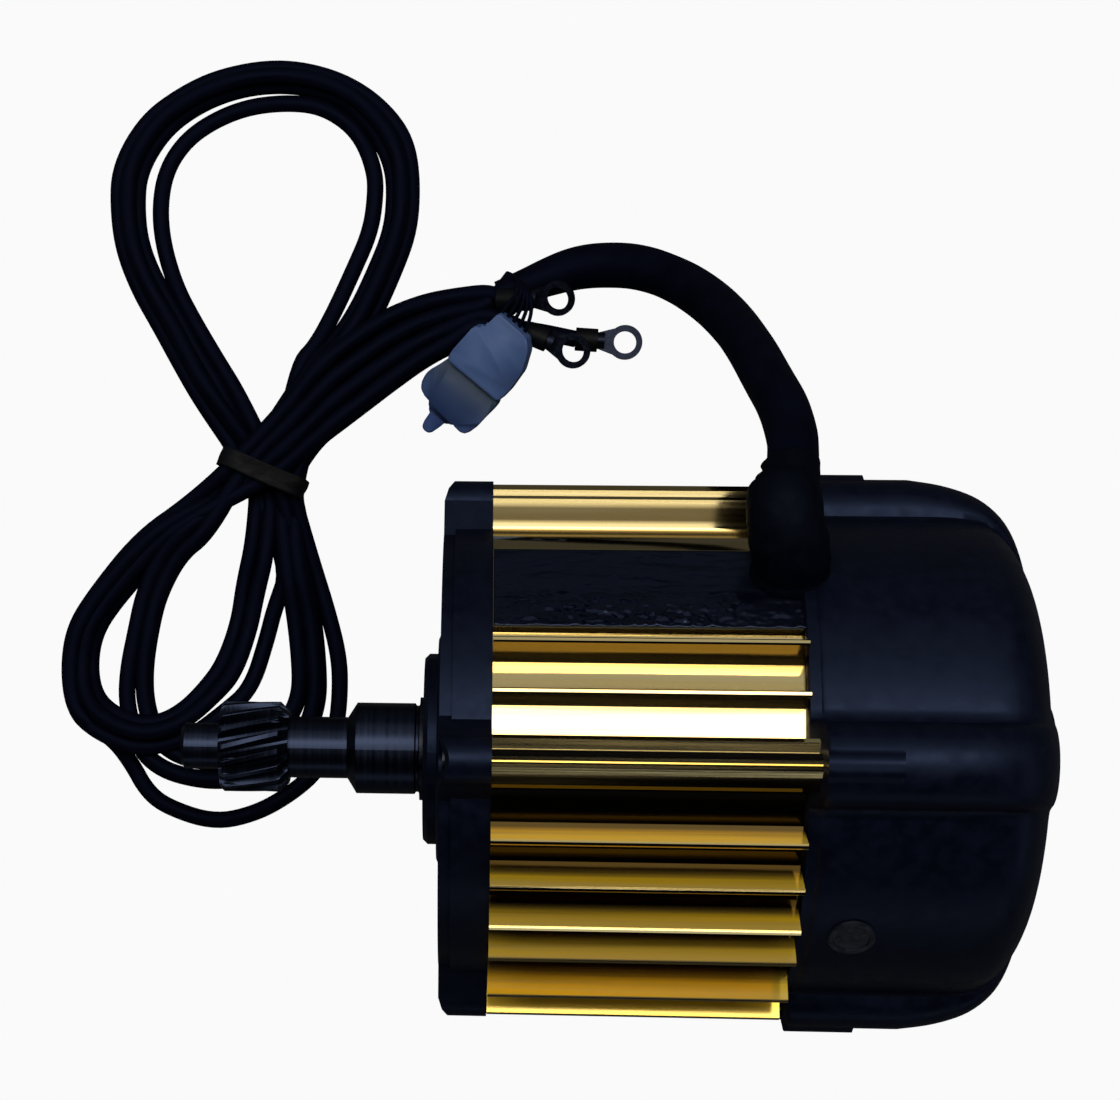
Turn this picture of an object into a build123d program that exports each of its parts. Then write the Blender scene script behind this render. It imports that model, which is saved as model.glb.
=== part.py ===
from build123d import *
import math
import os

os.makedirs("parts", exist_ok=True)

# Sizes are in mm. X runs along the shaft and the shaft points to -X.
# X = 0 is the mounting face, Z is up, and the motor lies on its side on a floor.
# An angle round the motor is counted from +Z towards -Y.

# Overall sizes
BODY_R = 58.0
FRAME_START = 12.5
FRAME_END = 89.5
COVER_LENGTH = 63.5
SHAFT_REACH = 67.9

# Flange
FLANGE_T = FRAME_START
RIM_R = BODY_R - 0.5
STEP_T = 3.0
LUG_R = BODY_R + 11.6
BOLT_CIRCLE_R = BODY_R + 5.7
LUG_BOSS_R = LUG_R - BOLT_CIRCLE_R
PILOT_R = 24.8
PILOT_L = 4.5
MOUNT_PCD_R = 43.0
MOUNT_DRILL_R = 3.4
MOUNT_DEPTH = 9.0

# Frame
FRAME_WALL = 6.0
BORE_R = BODY_R - FRAME_WALL
REGISTER_L = 3.5
FIN_R = BODY_R + 10.8
FIN_END = FRAME_END - 3.5
FIN_ROOT_T = 2.6
FIN_TIP_T = 1.5
RIB_W = 12.4
RIB_SHOULDER_R = BODY_R + 7.6
BEAD_W = 5.8
BEAD_R = BODY_R + 10.7
LAND_W = 27.5
LAND_DISTANCE = BODY_R + 0.2
LAND_ANGLE = -45.0
FIN_ANGLES = (16.0, 26.0, 35.9, 45.1, 59.9, 74.5)
LAND_SIDE_FINS = (-14.0, -24.6)
FILM_T = 0.4
FILM_MARGIN = 0.4

# Rear cover
COVER_END = FRAME_END + COVER_LENGTH
DOME_R = BODY_R + 2.6
HUMP_R = BODY_R + 12.7
PAD_R = BODY_R + 14.0
PAD_W = 7.1
PAD_END = FRAME_END + 17.5
COVER_BOSS_R = 15.0
COVER_BOSS_END = COVER_END + 4.0
PLUG_X = FRAME_END + 10.2
PLUG_ANGLE = 44.0
PLUG_HEAD_R = 5.6
PLUG_SHANK_R = 4.0
FLOOR_Z = -PAD_R

# Tie bolts
BOLT_R = 2.5
BOLT_CLEARANCE_R = 2.75
BOLT_HEAD_R = 4.25
BOLT_HEAD_H = 5.0
HEAD_POCKET_R = 4.7
HEAD_POCKET_T = 6.0
HEX_ACROSS = 4.0
THREAD_L = 14.0

# Shaft and bearings
TIP_R = 6.0
NECK_R = 8.0
COLLAR_R = 11.85
SEAL_RUN_R = 12.0
GEAR_R = 11.7
GEAR_ROOT_R = 9.2
GEAR_TEETH = 16
GEAR_TWIST = -22.5
GEAR_START = -SHAFT_REACH + 10.4
GEAR_END = GEAR_START + 17.8
NECK_END = -24.4
COLLAR_START = -22.0
COLLAR_END = -6.5
FRONT_BEARING_X = 3.2
FRONT_BEARING_T = 15.0
FRONT_BORE_R = 12.5
FRONT_OUTER_R = 26.0
REAR_BEARING_T = 11.0
REAR_BORE_R = 7.5
REAR_OUTER_R = 17.5
WASHER_T = 1.4
REAR_SEAT_END = COVER_END - 5.6
REAR_BEARING_X = REAR_SEAT_END - WASHER_T - REAR_BEARING_T
HUB_R = 33.0
HUB_END = FRONT_BEARING_X + FRONT_BEARING_T + 2.6
REAR_HUB_R = 24.5
REAR_HUB_START = REAR_BEARING_X - 10.0
BALL_GAP = 0.05
CAGE_WIDTH = 2.2
CAGE_THICKNESS = 0.5

# Stator and rotor
SLOTS = 12
POLES = 8
STATOR_START = FRAME_START + 13.5
STATOR_END = FRAME_END - 3.5
STATOR_BORE_R = 0.58 * BORE_R
YOKE_T = 7.5
TOOTH_W = 7.0
AIR_GAP = 0.6
MAGNET_T = 4.5
MAGNET_R = STATOR_BORE_R - AIR_GAP
CORE_R = MAGNET_R - MAGNET_T
MAGNET_SPAN = 39.0
CORE_SEAT_R = 14.0
SHOULDER_R = 16.0
INSULATOR_T = 1.2
END_TURN_FRONT = 6.0
END_TURN_REAR = 18.0
BOARD_T = 1.6

# Cable boot, a rubber elbow on the label land that overlaps the cover.
# Along the land's width a place is counted from the land's middle towards the top.
BOOT_START = FRAME_END - 15.4
BOOT_END = FRAME_END + 4.4
BOOT_LOW = -LAND_W / 2
BOOT_HIGH = 5.3
BOOT_FOOT_T = 4.5
BOOT_TUBE_R = 8.3
BOOT_NECK_R = 7.4
BOOT_BEND_R = 14.0
BOOT_DROP = 30.0
BOOT_NECK_L = 8.0
CABLE_SLOT_HALF = 5.2
CABLE_SLOT_L = 8.0

# Cables on the floor
TRUNK_R = 6.3
LEAD_R = 2.4
LAYER = 2 * LEAD_R
STRAND_Z = FLOOR_Z + LEAD_R
TIE_T = 1.0
SLEEVE_R = 3.3
RING_R = 4.9
EYE_R = 3.2
RING_T = 1.2


def around(radius, angle, x=0.0):
    """Gives the point at an angle counted from +Z towards -Y."""
    turn = math.radians(angle)
    return (x, -radius * math.sin(turn), radius * math.cos(turn))


def section_at(radius, angle):
    """Places a section shape: its own x axis points outward at the angle."""
    local = 90.0 + angle
    turn = math.radians(local)
    return Location((radius * math.cos(turn), radius * math.sin(turn), 0), (0, 0, local))


def turned(label, profile):
    """Revolves a closed (x, radius) profile about the motor axis."""
    with BuildPart() as body:
        with BuildSketch(Plane.XZ):
            with BuildLine():
                Polyline(*profile, close=True)
            make_face()
        revolve(axis=Axis.X)
    body.part.label = label
    return body.part


def ring(label, start, end, inner, outer):
    """Makes a plain ring about the motor axis."""
    return turned(label, [(start, inner), (end, inner), (end, outer), (start, outer)])


def save(piece):
    """Writes one labelled piece to its own STEP file."""
    export_step(piece, "parts/" + piece.label + ".step")


def front_flange():
    """Cast end flange with four lugs, a pilot spigot and the front bearing hub."""
    web_root_r = RIM_R - 6.0
    web_half = LUG_BOSS_R + 3.4
    with BuildPart() as flange:
        for start, end, disc_r in ((0.0, STEP_T, RIM_R - 1.4), (STEP_T, FLANGE_T, RIM_R)):
            with BuildSketch(Plane.YZ.offset(start)):
                Circle(disc_r)
                for angle in (0, 90, 180, 270):
                    with Locations(section_at(BOLT_CIRCLE_R, angle)):
                        Circle(LUG_BOSS_R)
                    with Locations(section_at(0, angle)):
                        Polygon(
                            (web_root_r, -web_half - 2.6),
                            (BOLT_CIRCLE_R + 0.6, -LUG_BOSS_R + 0.05),
                            (BOLT_CIRCLE_R + 0.6, LUG_BOSS_R - 0.05),
                            (web_root_r, web_half + 2.6),
                            align=None,
                        )
            extrude(amount=end - start)
        envelope = [
            (0, 0),
            (0, LUG_R - 5.2),
            (1.0, LUG_R - 2.0),
            (2.6, LUG_R),
            (FLANGE_T, LUG_R),
            (FLANGE_T, 0),
        ]
        with BuildSketch(Plane.XZ):
            with BuildLine():
                Polyline(*envelope, close=True)
            make_face()
        revolve(axis=Axis.X, mode=Mode.INTERSECT)
        pilot = [
            (-PILOT_L, 15.0),
            (-PILOT_L, PILOT_R - 1.2),
            (-PILOT_L + 1.2, PILOT_R),
            (-1.0, PILOT_R),
            (-1.0, PILOT_R + 3.8),
            (-0.5, PILOT_R + 5.0),
            (0, PILOT_R + 5.4),
            (FLANGE_T, PILOT_R + 5.4),
            (FLANGE_T, 15.0),
        ]
        hub = [
            (FLANGE_T - 1, 20.0),
            (FLANGE_T - 1, BORE_R),
            (FLANGE_T + REGISTER_L, BORE_R),
            (FLANGE_T + REGISTER_L, BORE_R - 5.0),
            (FLANGE_T, BORE_R - 5.0),
            (FLANGE_T, HUB_R),
            (HUB_END, HUB_R - 1.0),
            (HUB_END, 20.0),
        ]
        for outline in (pilot, hub):
            with BuildSketch(Plane.XZ):
                with BuildLine():
                    Polyline(*outline, close=True)
                make_face()
            revolve(axis=Axis.X)
        bores = [
            (-PILOT_L - 1, 0),
            (-PILOT_L - 1, 18.5),
            (2.2, 18.5),
            (2.2, 15.8),
            (FRONT_BEARING_X, 15.8),
            (FRONT_BEARING_X, FRONT_OUTER_R),
            (HUB_END - 2.4, FRONT_OUTER_R),
            (HUB_END - 2.4, FRONT_OUTER_R + 1.5),
            (HUB_END - 1.2, FRONT_OUTER_R + 1.5),
            (HUB_END - 1.2, FRONT_OUTER_R),
            (HUB_END + 1, FRONT_OUTER_R),
            (HUB_END + 1, 0),
        ]
        with BuildSketch(Plane.XZ):
            with BuildLine():
                Polyline(*bores, close=True)
            make_face()
        revolve(axis=Axis.X, mode=Mode.SUBTRACT)
        with BuildSketch(Plane.YZ):
            for angle in (0, 90, 180, 270):
                with Locations(section_at(BOLT_CIRCLE_R, angle)):
                    Circle(BOLT_CLEARANCE_R)
        extrude(amount=FLANGE_T, mode=Mode.SUBTRACT)
        with BuildSketch(Plane.YZ):
            for angle in (0, 90, 180, 270):
                with Locations(section_at(BOLT_CIRCLE_R, angle)):
                    Circle(HEAD_POCKET_R)
        extrude(amount=HEAD_POCKET_T, mode=Mode.SUBTRACT)
        with BuildSketch(Plane.YZ):
            for angle in (45, 135, 225, 315):
                with Locations(section_at(MOUNT_PCD_R, angle)):
                    Circle(MOUNT_DRILL_R)
        extrude(amount=MOUNT_DEPTH, mode=Mode.SUBTRACT)
    flange.part.label = "front_flange"
    return flange.part


def stator_frame():
    """Extruded housing with radial fins, four bolt ribs and a flat label land."""
    land_half = LAND_W / 2
    with BuildPart() as frame:
        with BuildSketch(Plane.YZ.offset(FRAME_START)):
            Circle(BODY_R)
            for angle in (0, 90, 180, 270):
                with Locations(section_at(0, angle)):
                    Polygon(
                        (BORE_R, -RIB_W / 2),
                        (RIB_SHOULDER_R - 0.8, -RIB_W / 2),
                        (RIB_SHOULDER_R, -RIB_W / 2 + 0.8),
                        (RIB_SHOULDER_R, -BEAD_W / 2),
                        (BEAD_R - 1.4, -BEAD_W / 2),
                        (BEAD_R, -BEAD_W / 2 + 1.6),
                        (BEAD_R, -0.4),
                        (BEAD_R - 0.5, 0),
                        (BEAD_R, 0.4),
                        (BEAD_R, BEAD_W / 2 - 1.6),
                        (BEAD_R - 1.4, BEAD_W / 2),
                        (RIB_SHOULDER_R, BEAD_W / 2),
                        (RIB_SHOULDER_R, RIB_W / 2 - 0.8),
                        (RIB_SHOULDER_R - 0.8, RIB_W / 2),
                        (BORE_R, RIB_W / 2),
                        align=None,
                    )
            with Locations(section_at(0, LAND_ANGLE)):
                Polygon(
                    (BORE_R, -land_half),
                    (LAND_DISTANCE, -land_half),
                    (LAND_DISTANCE, land_half),
                    (BORE_R, land_half),
                    align=None,
                )
        extrude(amount=FRAME_END - FRAME_START)
        with BuildSketch(Plane.YZ.offset(FRAME_START)):
            for angle in fin_positions():
                with Locations(section_at(0, angle)):
                    Polygon(
                        (BODY_R - 2, -FIN_ROOT_T / 2),
                        (FIN_R - 0.4, -FIN_TIP_T / 2),
                        (FIN_R, -FIN_TIP_T / 2 + 0.4),
                        (FIN_R, FIN_TIP_T / 2 - 0.4),
                        (FIN_R - 0.4, FIN_TIP_T / 2),
                        (BODY_R - 2, FIN_ROOT_T / 2),
                        align=None,
                    )
        extrude(amount=FIN_END - FRAME_START)
        with BuildSketch(Plane.YZ.offset(FRAME_START)):
            Circle(BORE_R)
            for angle in (0, 90, 180, 270):
                with Locations(section_at(BOLT_CIRCLE_R, angle)):
                    Circle(BOLT_CLEARANCE_R)
        extrude(amount=FRAME_END - FRAME_START, mode=Mode.SUBTRACT)
        with BuildSketch(Plane.YZ.offset(FRAME_END - CABLE_SLOT_L)):
            boot_box(BORE_R - 6, BODY_R + 6, -CABLE_SLOT_HALF, CABLE_SLOT_HALF)
        extrude(amount=CABLE_SLOT_L, mode=Mode.SUBTRACT)
    frame.part.label = "stator_frame"
    return frame.part


def boot_box(low, high, width_start, width_end):
    """Draws a rectangle over the label land between two distances from the motor axis."""
    with Locations(section_at(0, LAND_ANGLE)):
        Polygon(
            (low, width_start),
            (high, width_start),
            (high, width_end),
            (low, width_end),
            align=None,
        )


def fin_positions():
    """Lists the fin angles: the quarter with the label land carries two fins only."""
    angles = [angle + quarter for quarter in (0, 90, 180) for angle in FIN_ANGLES]
    return angles + list(LAND_SIDE_FINS)


def dome_profile():
    """Outer (x, radius) profile of the rear cover between its humps."""
    end = COVER_END
    return [
        (FRAME_END, DOME_R),
        (end - 21, DOME_R),
        (end - 15, DOME_R - 1.2),
        (end - 10.5, DOME_R - 4.6),
        (end - 7.4, DOME_R - 9.5),
        (end - 5.4, DOME_R - 16.0),
        (end - 2.6, DOME_R - 28.0),
        (end - 0.8, DOME_R - 39.0),
        (end, COVER_BOSS_R + 1.0),
    ]


def hump_profile():
    """Crest (x, radius) profile of the four humps over the cover."""
    end = COVER_END
    return [
        (FRAME_END, HUMP_R - 0.6),
        (FRAME_END + 1.0, HUMP_R),
        (end - 32.0, HUMP_R),
        (end - 23.0, HUMP_R - 1.6),
        (end - 16.0, HUMP_R - 4.0),
        (end - 11.0, HUMP_R - 7.6),
        (end - 8.0, HUMP_R - 11.4),
        (end - 5.6, HUMP_R - 17.0),
        (end - 3.6, HUMP_R - 26.0),
        (end - 1.6, HUMP_R - 37.0),
        (end + 0.6, HUMP_R - 48.0),
        (end + 1.2, COVER_BOSS_R),
    ]


def cover_humps():
    """The four rounded ridges, cut to the crest profile."""
    crown_r = 9.6
    base_half = 12.8
    with BuildPart() as humps:
        with BuildSketch(Plane.YZ.offset(FRAME_END)):
            for angle in (0, 90, 180, 270):
                with Locations(section_at(HUMP_R - crown_r, angle)):
                    Circle(crown_r)
                with Locations(section_at(0, angle)):
                    Polygon(
                        (0, -base_half + 4),
                        (DOME_R - 8, -base_half),
                        (DOME_R + 1.4, -base_half + 0.4),
                        (DOME_R + 2.0, -crown_r - 0.6),
                        (HUMP_R - crown_r, -crown_r),
                        (HUMP_R - crown_r, crown_r),
                        (DOME_R + 2.0, crown_r + 0.6),
                        (DOME_R + 1.4, base_half - 0.4),
                        (DOME_R - 8, base_half),
                        (0, base_half - 4),
                        align=None,
                    )
        extrude(amount=COVER_LENGTH + 2)
        with BuildSketch(Plane.XZ):
            with BuildLine():
                Polyline((FRAME_END, 0), *hump_profile(), (COVER_END + 1.2, 0), close=True)
            make_face()
        revolve(axis=Axis.X, mode=Mode.INTERSECT)
        with BuildSketch(Plane.YZ.offset(FRAME_END)):
            for angle in (0, 90, 180, 270):
                with Locations(section_at(PAD_R - PAD_W / 2, angle)):
                    Circle(PAD_W / 2)
                with Locations(section_at(0, angle)):
                    Polygon(
                        (DOME_R, -PAD_W / 2),
                        (PAD_R - PAD_W / 2, -PAD_W / 2),
                        (PAD_R - PAD_W / 2, PAD_W / 2),
                        (DOME_R, PAD_W / 2),
                        align=None,
                    )
        extrude(amount=PAD_END - FRAME_END)
    return humps.part


def rear_cover():
    """Cast rear cover: a dome, four humps, a round end boss and the rear bearing hub."""
    end = COVER_END
    cavity = [
        (FRAME_END - REGISTER_L - 1, 0),
        (FRAME_END - REGISTER_L - 1, BORE_R - 3.5),
        (FRAME_END + 3.5, BORE_R - 3.5),
        (FRAME_END + 5.5, DOME_R - 4.5),
        (end - 23, DOME_R - 4.5),
        (end - 16.5, DOME_R - 6.5),
        (end - 11.5, DOME_R - 12.0),
        (end - 9.0, DOME_R - 20.0),
        (end - 7.0, REAR_HUB_R),
        (REAR_HUB_START, REAR_HUB_R),
        (REAR_HUB_START, REAR_OUTER_R),
        (REAR_SEAT_END, REAR_OUTER_R),
        (REAR_SEAT_END, 0),
    ]
    boss = [
        (end - 3, 0),
        (end - 3, COVER_BOSS_R),
        (COVER_BOSS_END - 1.5, COVER_BOSS_R),
        (COVER_BOSS_END, COVER_BOSS_R - 1.5),
        (COVER_BOSS_END, 0),
    ]
    with BuildPart() as cover:
        with BuildSketch(Plane.XZ):
            with BuildLine():
                Polyline((FRAME_END, 0), *dome_profile(), (COVER_END, 0), close=True)
            make_face()
        revolve(axis=Axis.X)
        add(cover_humps())
        with BuildSketch(Plane.XZ):
            with BuildLine():
                Polyline(*boss, close=True)
            make_face()
        revolve(axis=Axis.X)
        with BuildSketch(Plane.YZ.offset(FRAME_END - REGISTER_L)):
            Circle(BORE_R)
        extrude(amount=REGISTER_L)
        with BuildSketch(Plane.XZ):
            with BuildLine():
                Polyline(*cavity, close=True)
            make_face()
        revolve(axis=Axis.X, mode=Mode.SUBTRACT)
        with BuildSketch(Plane.YZ.offset(FRAME_END)):
            for angle in (0, 90, 180, 270):
                with Locations(section_at(BOLT_CIRCLE_R, angle)):
                    Circle(BOLT_R)
        extrude(amount=THREAD_L + 1, mode=Mode.SUBTRACT)
        with BuildSketch(Plane.YZ.offset(FRAME_END - REGISTER_L)):
            boot_box(BORE_R - 6, DOME_R + 6, -CABLE_SLOT_HALF, CABLE_SLOT_HALF)
        extrude(amount=REGISTER_L, mode=Mode.SUBTRACT)
        with BuildSketch(Plane.YZ.offset(FRAME_END)):
            boot_box(BORE_R - 6, DOME_R + 6, BOOT_LOW, BOOT_HIGH)
        extrude(amount=BOOT_END - FRAME_END, mode=Mode.SUBTRACT)
        with BuildSketch(plug_plane(0)):
            Circle(PLUG_SHANK_R)
        extrude(amount=DOME_R + 8, mode=Mode.SUBTRACT)
        with BuildSketch(plug_plane(DOME_R - 0.8)):
            Circle(PLUG_HEAD_R)
        extrude(amount=8, mode=Mode.SUBTRACT)
    cover.part.label = "rear_cover"
    return cover.part


def plug_plane(distance):
    """Plane across the side plug's axis at a distance from the motor axis."""
    return Plane(
        origin=around(distance, PLUG_ANGLE, PLUG_X),
        x_dir=(1, 0, 0),
        z_dir=around(1, PLUG_ANGLE),
    )


def side_plug():
    """Round plug with a rim, pressed into the side of the cover."""
    with BuildPart() as plug:
        with BuildSketch(plug_plane(DOME_R - 4.4)):
            Circle(PLUG_SHANK_R)
        extrude(amount=3.6)
        with BuildSketch(plug_plane(DOME_R - 0.8)):
            Circle(PLUG_HEAD_R)
        extrude(amount=1.6)
        with BuildSketch(plug_plane(DOME_R + 0.3)):
            Circle(PLUG_HEAD_R - 1.1)
        extrude(amount=1, mode=Mode.SUBTRACT)
    plug.part.label = "side_plug"
    return plug.part


def tie_bolts():
    """Four socket head bolts through the flange and the ribs into the cover."""
    with BuildPart() as bolts:
        head_face = HEAD_POCKET_T - BOLT_HEAD_H
        with BuildSketch(Plane.YZ.offset(head_face)):
            for angle in (0, 90, 180, 270):
                with Locations(section_at(BOLT_CIRCLE_R, angle)):
                    Circle(BOLT_HEAD_R)
        extrude(amount=BOLT_HEAD_H)
        with BuildSketch(Plane.YZ.offset(HEAD_POCKET_T)):
            for angle in (0, 90, 180, 270):
                with Locations(section_at(BOLT_CIRCLE_R, angle)):
                    Circle(BOLT_R)
        extrude(amount=FRAME_END + THREAD_L - HEAD_POCKET_T)
        with BuildSketch(Plane.YZ.offset(head_face)):
            for angle in (0, 90, 180, 270):
                with Locations(section_at(BOLT_CIRCLE_R, angle)):
                    RegularPolygon(HEX_ACROSS / 2, 6, major_radius=False)
        extrude(amount=2.6, mode=Mode.SUBTRACT)
    bolts.part.label = "tie_bolts"
    return bolts.part


def label_film():
    """Blank glossy film over the flat land of the frame, cut out round the cable boot."""
    film_half = LAND_W / 2 - FILM_MARGIN
    film_top = LAND_DISTANCE + FILM_T
    film_start = FRAME_START + FILM_MARGIN
    notch_start = BOOT_START - FILM_MARGIN
    with BuildPart() as film:
        with BuildSketch(Plane.YZ.offset(film_start)):
            boot_box(LAND_DISTANCE, film_top, -film_half, film_half)
        extrude(amount=notch_start - film_start)
        with BuildSketch(Plane.YZ.offset(notch_start)):
            boot_box(LAND_DISTANCE, film_top, BOOT_HIGH + FILM_MARGIN, film_half)
        extrude(amount=FRAME_END - FILM_MARGIN - notch_start)
    film.part.label = "label_film"
    return film.part


def slot_profile(slot_outer, mouth_half):
    """Draws the stator slots between the teeth, in the sketch that is open."""
    step = 360.0 / SLOTS
    inner = STATOR_BORE_R + 2.6
    half_inner = inner * math.tan(math.radians(step / 2)) - TOOTH_W / 2
    half_outer = slot_outer * math.tan(math.radians(step / 2)) - TOOTH_W / 2
    for index in range(SLOTS):
        with Locations(section_at(0, index * step)):
            Polygon(
                (STATOR_BORE_R - 1, -mouth_half),
                (inner - 0.8, -mouth_half),
                (inner, -half_inner),
                (slot_outer, -half_outer),
                (slot_outer, half_outer),
                (inner, half_inner),
                (inner - 0.8, mouth_half),
                (STATOR_BORE_R - 1, mouth_half),
                align=None,
            )


def stator_plate(label, start, thickness):
    """Makes a plate with the stator's outline: rings, teeth and slots."""
    with BuildPart() as plate:
        with BuildSketch(Plane.YZ.offset(start)) as outline:
            Circle(BORE_R - (0 if label == "stator_core" else 3.6))
            Circle(STATOR_BORE_R, mode=Mode.SUBTRACT)
        extrude(amount=thickness)
        with BuildSketch(Plane.YZ.offset(start)):
            slot_profile(BORE_R - YOKE_T, 1.2)
        extrude(amount=thickness, mode=Mode.SUBTRACT)
    plate.part.label = label
    return plate.part


def stator_windings():
    """Copper bars that fill the slots, joined by the end turns."""
    step = 360.0 / SLOTS
    inner = STATOR_BORE_R + 2.9
    outer = BORE_R - YOKE_T - 0.3
    half_inner = inner * math.tan(math.radians(step / 2)) - TOOTH_W / 2 - 0.3
    half_outer = outer * math.tan(math.radians(step / 2)) - TOOTH_W / 2 - 0.3
    front = STATOR_START - INSULATOR_T
    rear = STATOR_END + INSULATOR_T
    with BuildPart() as windings:
        with BuildSketch(Plane.YZ.offset(front)):
            for index in range(SLOTS):
                with Locations(section_at(0, index * step)):
                    Polygon(
                        (inner, -half_inner),
                        (outer, -half_outer),
                        (outer, half_outer),
                        (inner, half_inner),
                        align=None,
                    )
        extrude(amount=rear - front)
        for start, length in ((front - END_TURN_FRONT, END_TURN_FRONT), (rear, END_TURN_REAR)):
            profile = [
                (start, inner + 2.6),
                (start + 1.6, inner + 1.0),
                (start + length - 1.6, inner + 1.0),
                (start + length, inner + 2.6),
                (start + length, outer - 2.2),
                (start + length - 1.6, outer - 0.6),
                (start + 1.6, outer - 0.6),
                (start, outer - 2.2),
            ]
            with BuildSketch(Plane.XZ):
                with BuildLine():
                    Polyline(*profile, close=True)
                make_face()
            revolve(axis=Axis.X)
    windings.part.label = "stator_windings"
    return windings.part


BOARD_X = STATOR_END + INSULATOR_T + END_TURN_REAR + 1.5


def hall_board():
    """Round circuit board with three hall sensors on its front face."""
    inner = STATOR_BORE_R + 2.0
    with BuildPart() as board:
        with BuildSketch(Plane.YZ.offset(BOARD_X)):
            Circle(BORE_R - 1.5)
            Circle(inner, mode=Mode.SUBTRACT)
        extrude(amount=BOARD_T)
        with BuildSketch(Plane.YZ.offset(BOARD_X + BOARD_T)):
            for angle in (100, 140, 180):
                with Locations(section_at(inner + 4, angle)):
                    Rectangle(3, 4)
        extrude(amount=1.5)
    board.part.label = "hall_board"
    return board.part


def board_posts():
    """Nylon posts that carry the board on the rear insulator."""
    with BuildPart() as posts:
        with BuildSketch(Plane.YZ.offset(STATOR_END + INSULATOR_T)):
            for angle in (15, 135, 255):
                with Locations(section_at(BORE_R - 5.2, angle)):
                    Circle(1.5)
        extrude(amount=BOARD_X - STATOR_END - INSULATOR_T)
    posts.part.label = "board_posts"
    return posts.part


def pinion_outline(twist):
    """Gives the corner points of the pinion's tooth outline."""
    pitch = 360.0 / GEAR_TEETH
    flank = (
        (0.36, GEAR_ROOT_R),
        (0.30, GEAR_ROOT_R + 0.5),
        (0.235, GEAR_R - 1.2),
        (0.125, GEAR_R),
    )
    points = []
    for tooth in range(GEAR_TEETH):
        middle = tooth * pitch + twist
        sides = [(-share, radius) for share, radius in flank]
        sides = sides + [(share, radius) for share, radius in reversed(flank)]
        for share, radius in sides:
            turn = math.radians(middle + share * pitch)
            points.append((radius * math.cos(turn), radius * math.sin(turn)))
    return points


def shaft_pinion():
    """Left-hand helical teeth, trimmed at both ends."""
    sections = 4
    length = GEAR_END - GEAR_START
    with BuildPart() as pinion:
        for index in range(sections):
            share = index / (sections - 1)
            with BuildSketch(Plane.YZ.offset(GEAR_START + share * length)):
                with BuildLine():
                    Polyline(*pinion_outline(GEAR_TWIST * share), close=True)
                make_face()
        loft()
        trim = [
            (GEAR_START, 0),
            (GEAR_START, GEAR_R - 1.0),
            (GEAR_START + 1.0, GEAR_R),
            (GEAR_END - 2.4, GEAR_R),
            (GEAR_END, GEAR_ROOT_R + 0.2),
            (GEAR_END, 0),
        ]
        with BuildSketch(Plane.XZ):
            with BuildLine():
                Polyline(*trim, close=True)
            make_face()
        revolve(axis=Axis.X, mode=Mode.INTERSECT)
    return pinion.part


def rotor_shaft():
    """Stepped shaft in one piece with its helical pinion."""
    rear_end = REAR_BEARING_X + REAR_BEARING_T + 0.4
    rotor_end = STATOR_END + 8
    profile = [
        (-SHAFT_REACH, 0),
        (-SHAFT_REACH, TIP_R - 1.0),
        (-SHAFT_REACH + 1.0, TIP_R),
        (GEAR_START + 0.5, TIP_R),
        (GEAR_START + 0.5, NECK_R),
        (NECK_END, NECK_R),
        (COLLAR_START, COLLAR_R),
        (COLLAR_END - 0.4, COLLAR_R),
        (COLLAR_END, COLLAR_R - 0.6),
        (COLLAR_END + 0.6, COLLAR_R - 0.6),
        (COLLAR_END + 0.9, SEAL_RUN_R),
        (FRONT_BEARING_X, SEAL_RUN_R),
        (FRONT_BEARING_X, FRONT_BORE_R),
        (FRONT_BEARING_X + FRONT_BEARING_T, FRONT_BORE_R),
        (FRONT_BEARING_X + FRONT_BEARING_T, SHOULDER_R - 1.2),
        (FRONT_BEARING_X + FRONT_BEARING_T + 1.5, SHOULDER_R),
        (STATOR_START - 2.0, SHOULDER_R),
        (STATOR_START - 2.0, CORE_SEAT_R),
        (rotor_end, CORE_SEAT_R),
        (rotor_end + 1.0, 12.0),
        (REAR_BEARING_X - 6, 12.0),
        (REAR_BEARING_X - 6, REAR_BORE_R + 2.0),
        (REAR_BEARING_X, REAR_BORE_R + 2.0),
        (REAR_BEARING_X, REAR_BORE_R),
        (rear_end - 0.6, REAR_BORE_R),
        (rear_end, REAR_BORE_R - 0.6),
        (rear_end, 0),
    ]
    with BuildPart() as shaft:
        with BuildSketch(Plane.XZ):
            with BuildLine():
                Polyline(*profile, close=True)
            make_face()
        revolve(axis=Axis.X)
        add(shaft_pinion())
        with BuildSketch(Plane.YZ.offset(-SHAFT_REACH)):
            Circle(2.1)
        extrude(amount=3.5, taper=30, mode=Mode.SUBTRACT)
    shaft.part.label = "rotor_shaft"
    return shaft.part


def rotor_magnets():
    """Arc magnets on the rotor core, alternate poles."""
    step = 360.0 / POLES
    with BuildPart() as magnets:
        with BuildSketch(Plane.YZ.offset(STATOR_START)):
            Circle(MAGNET_R)
            Circle(CORE_R, mode=Mode.SUBTRACT)
        extrude(amount=STATOR_END - STATOR_START)
        with BuildSketch(Plane.YZ.offset(STATOR_START)):
            gap_half = CORE_R * math.sin(math.radians((step - MAGNET_SPAN) / 2))
            for index in range(POLES):
                with Locations(section_at(0, index * step)):
                    Polygon(
                        (CORE_R - 1, -gap_half),
                        (MAGNET_R + 1, -gap_half),
                        (MAGNET_R + 1, gap_half),
                        (CORE_R - 1, gap_half),
                        align=None,
                    )
        extrude(amount=STATOR_END - STATOR_START, mode=Mode.SUBTRACT)
    magnets.part.label = "rotor_magnets"
    return magnets.part


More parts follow.
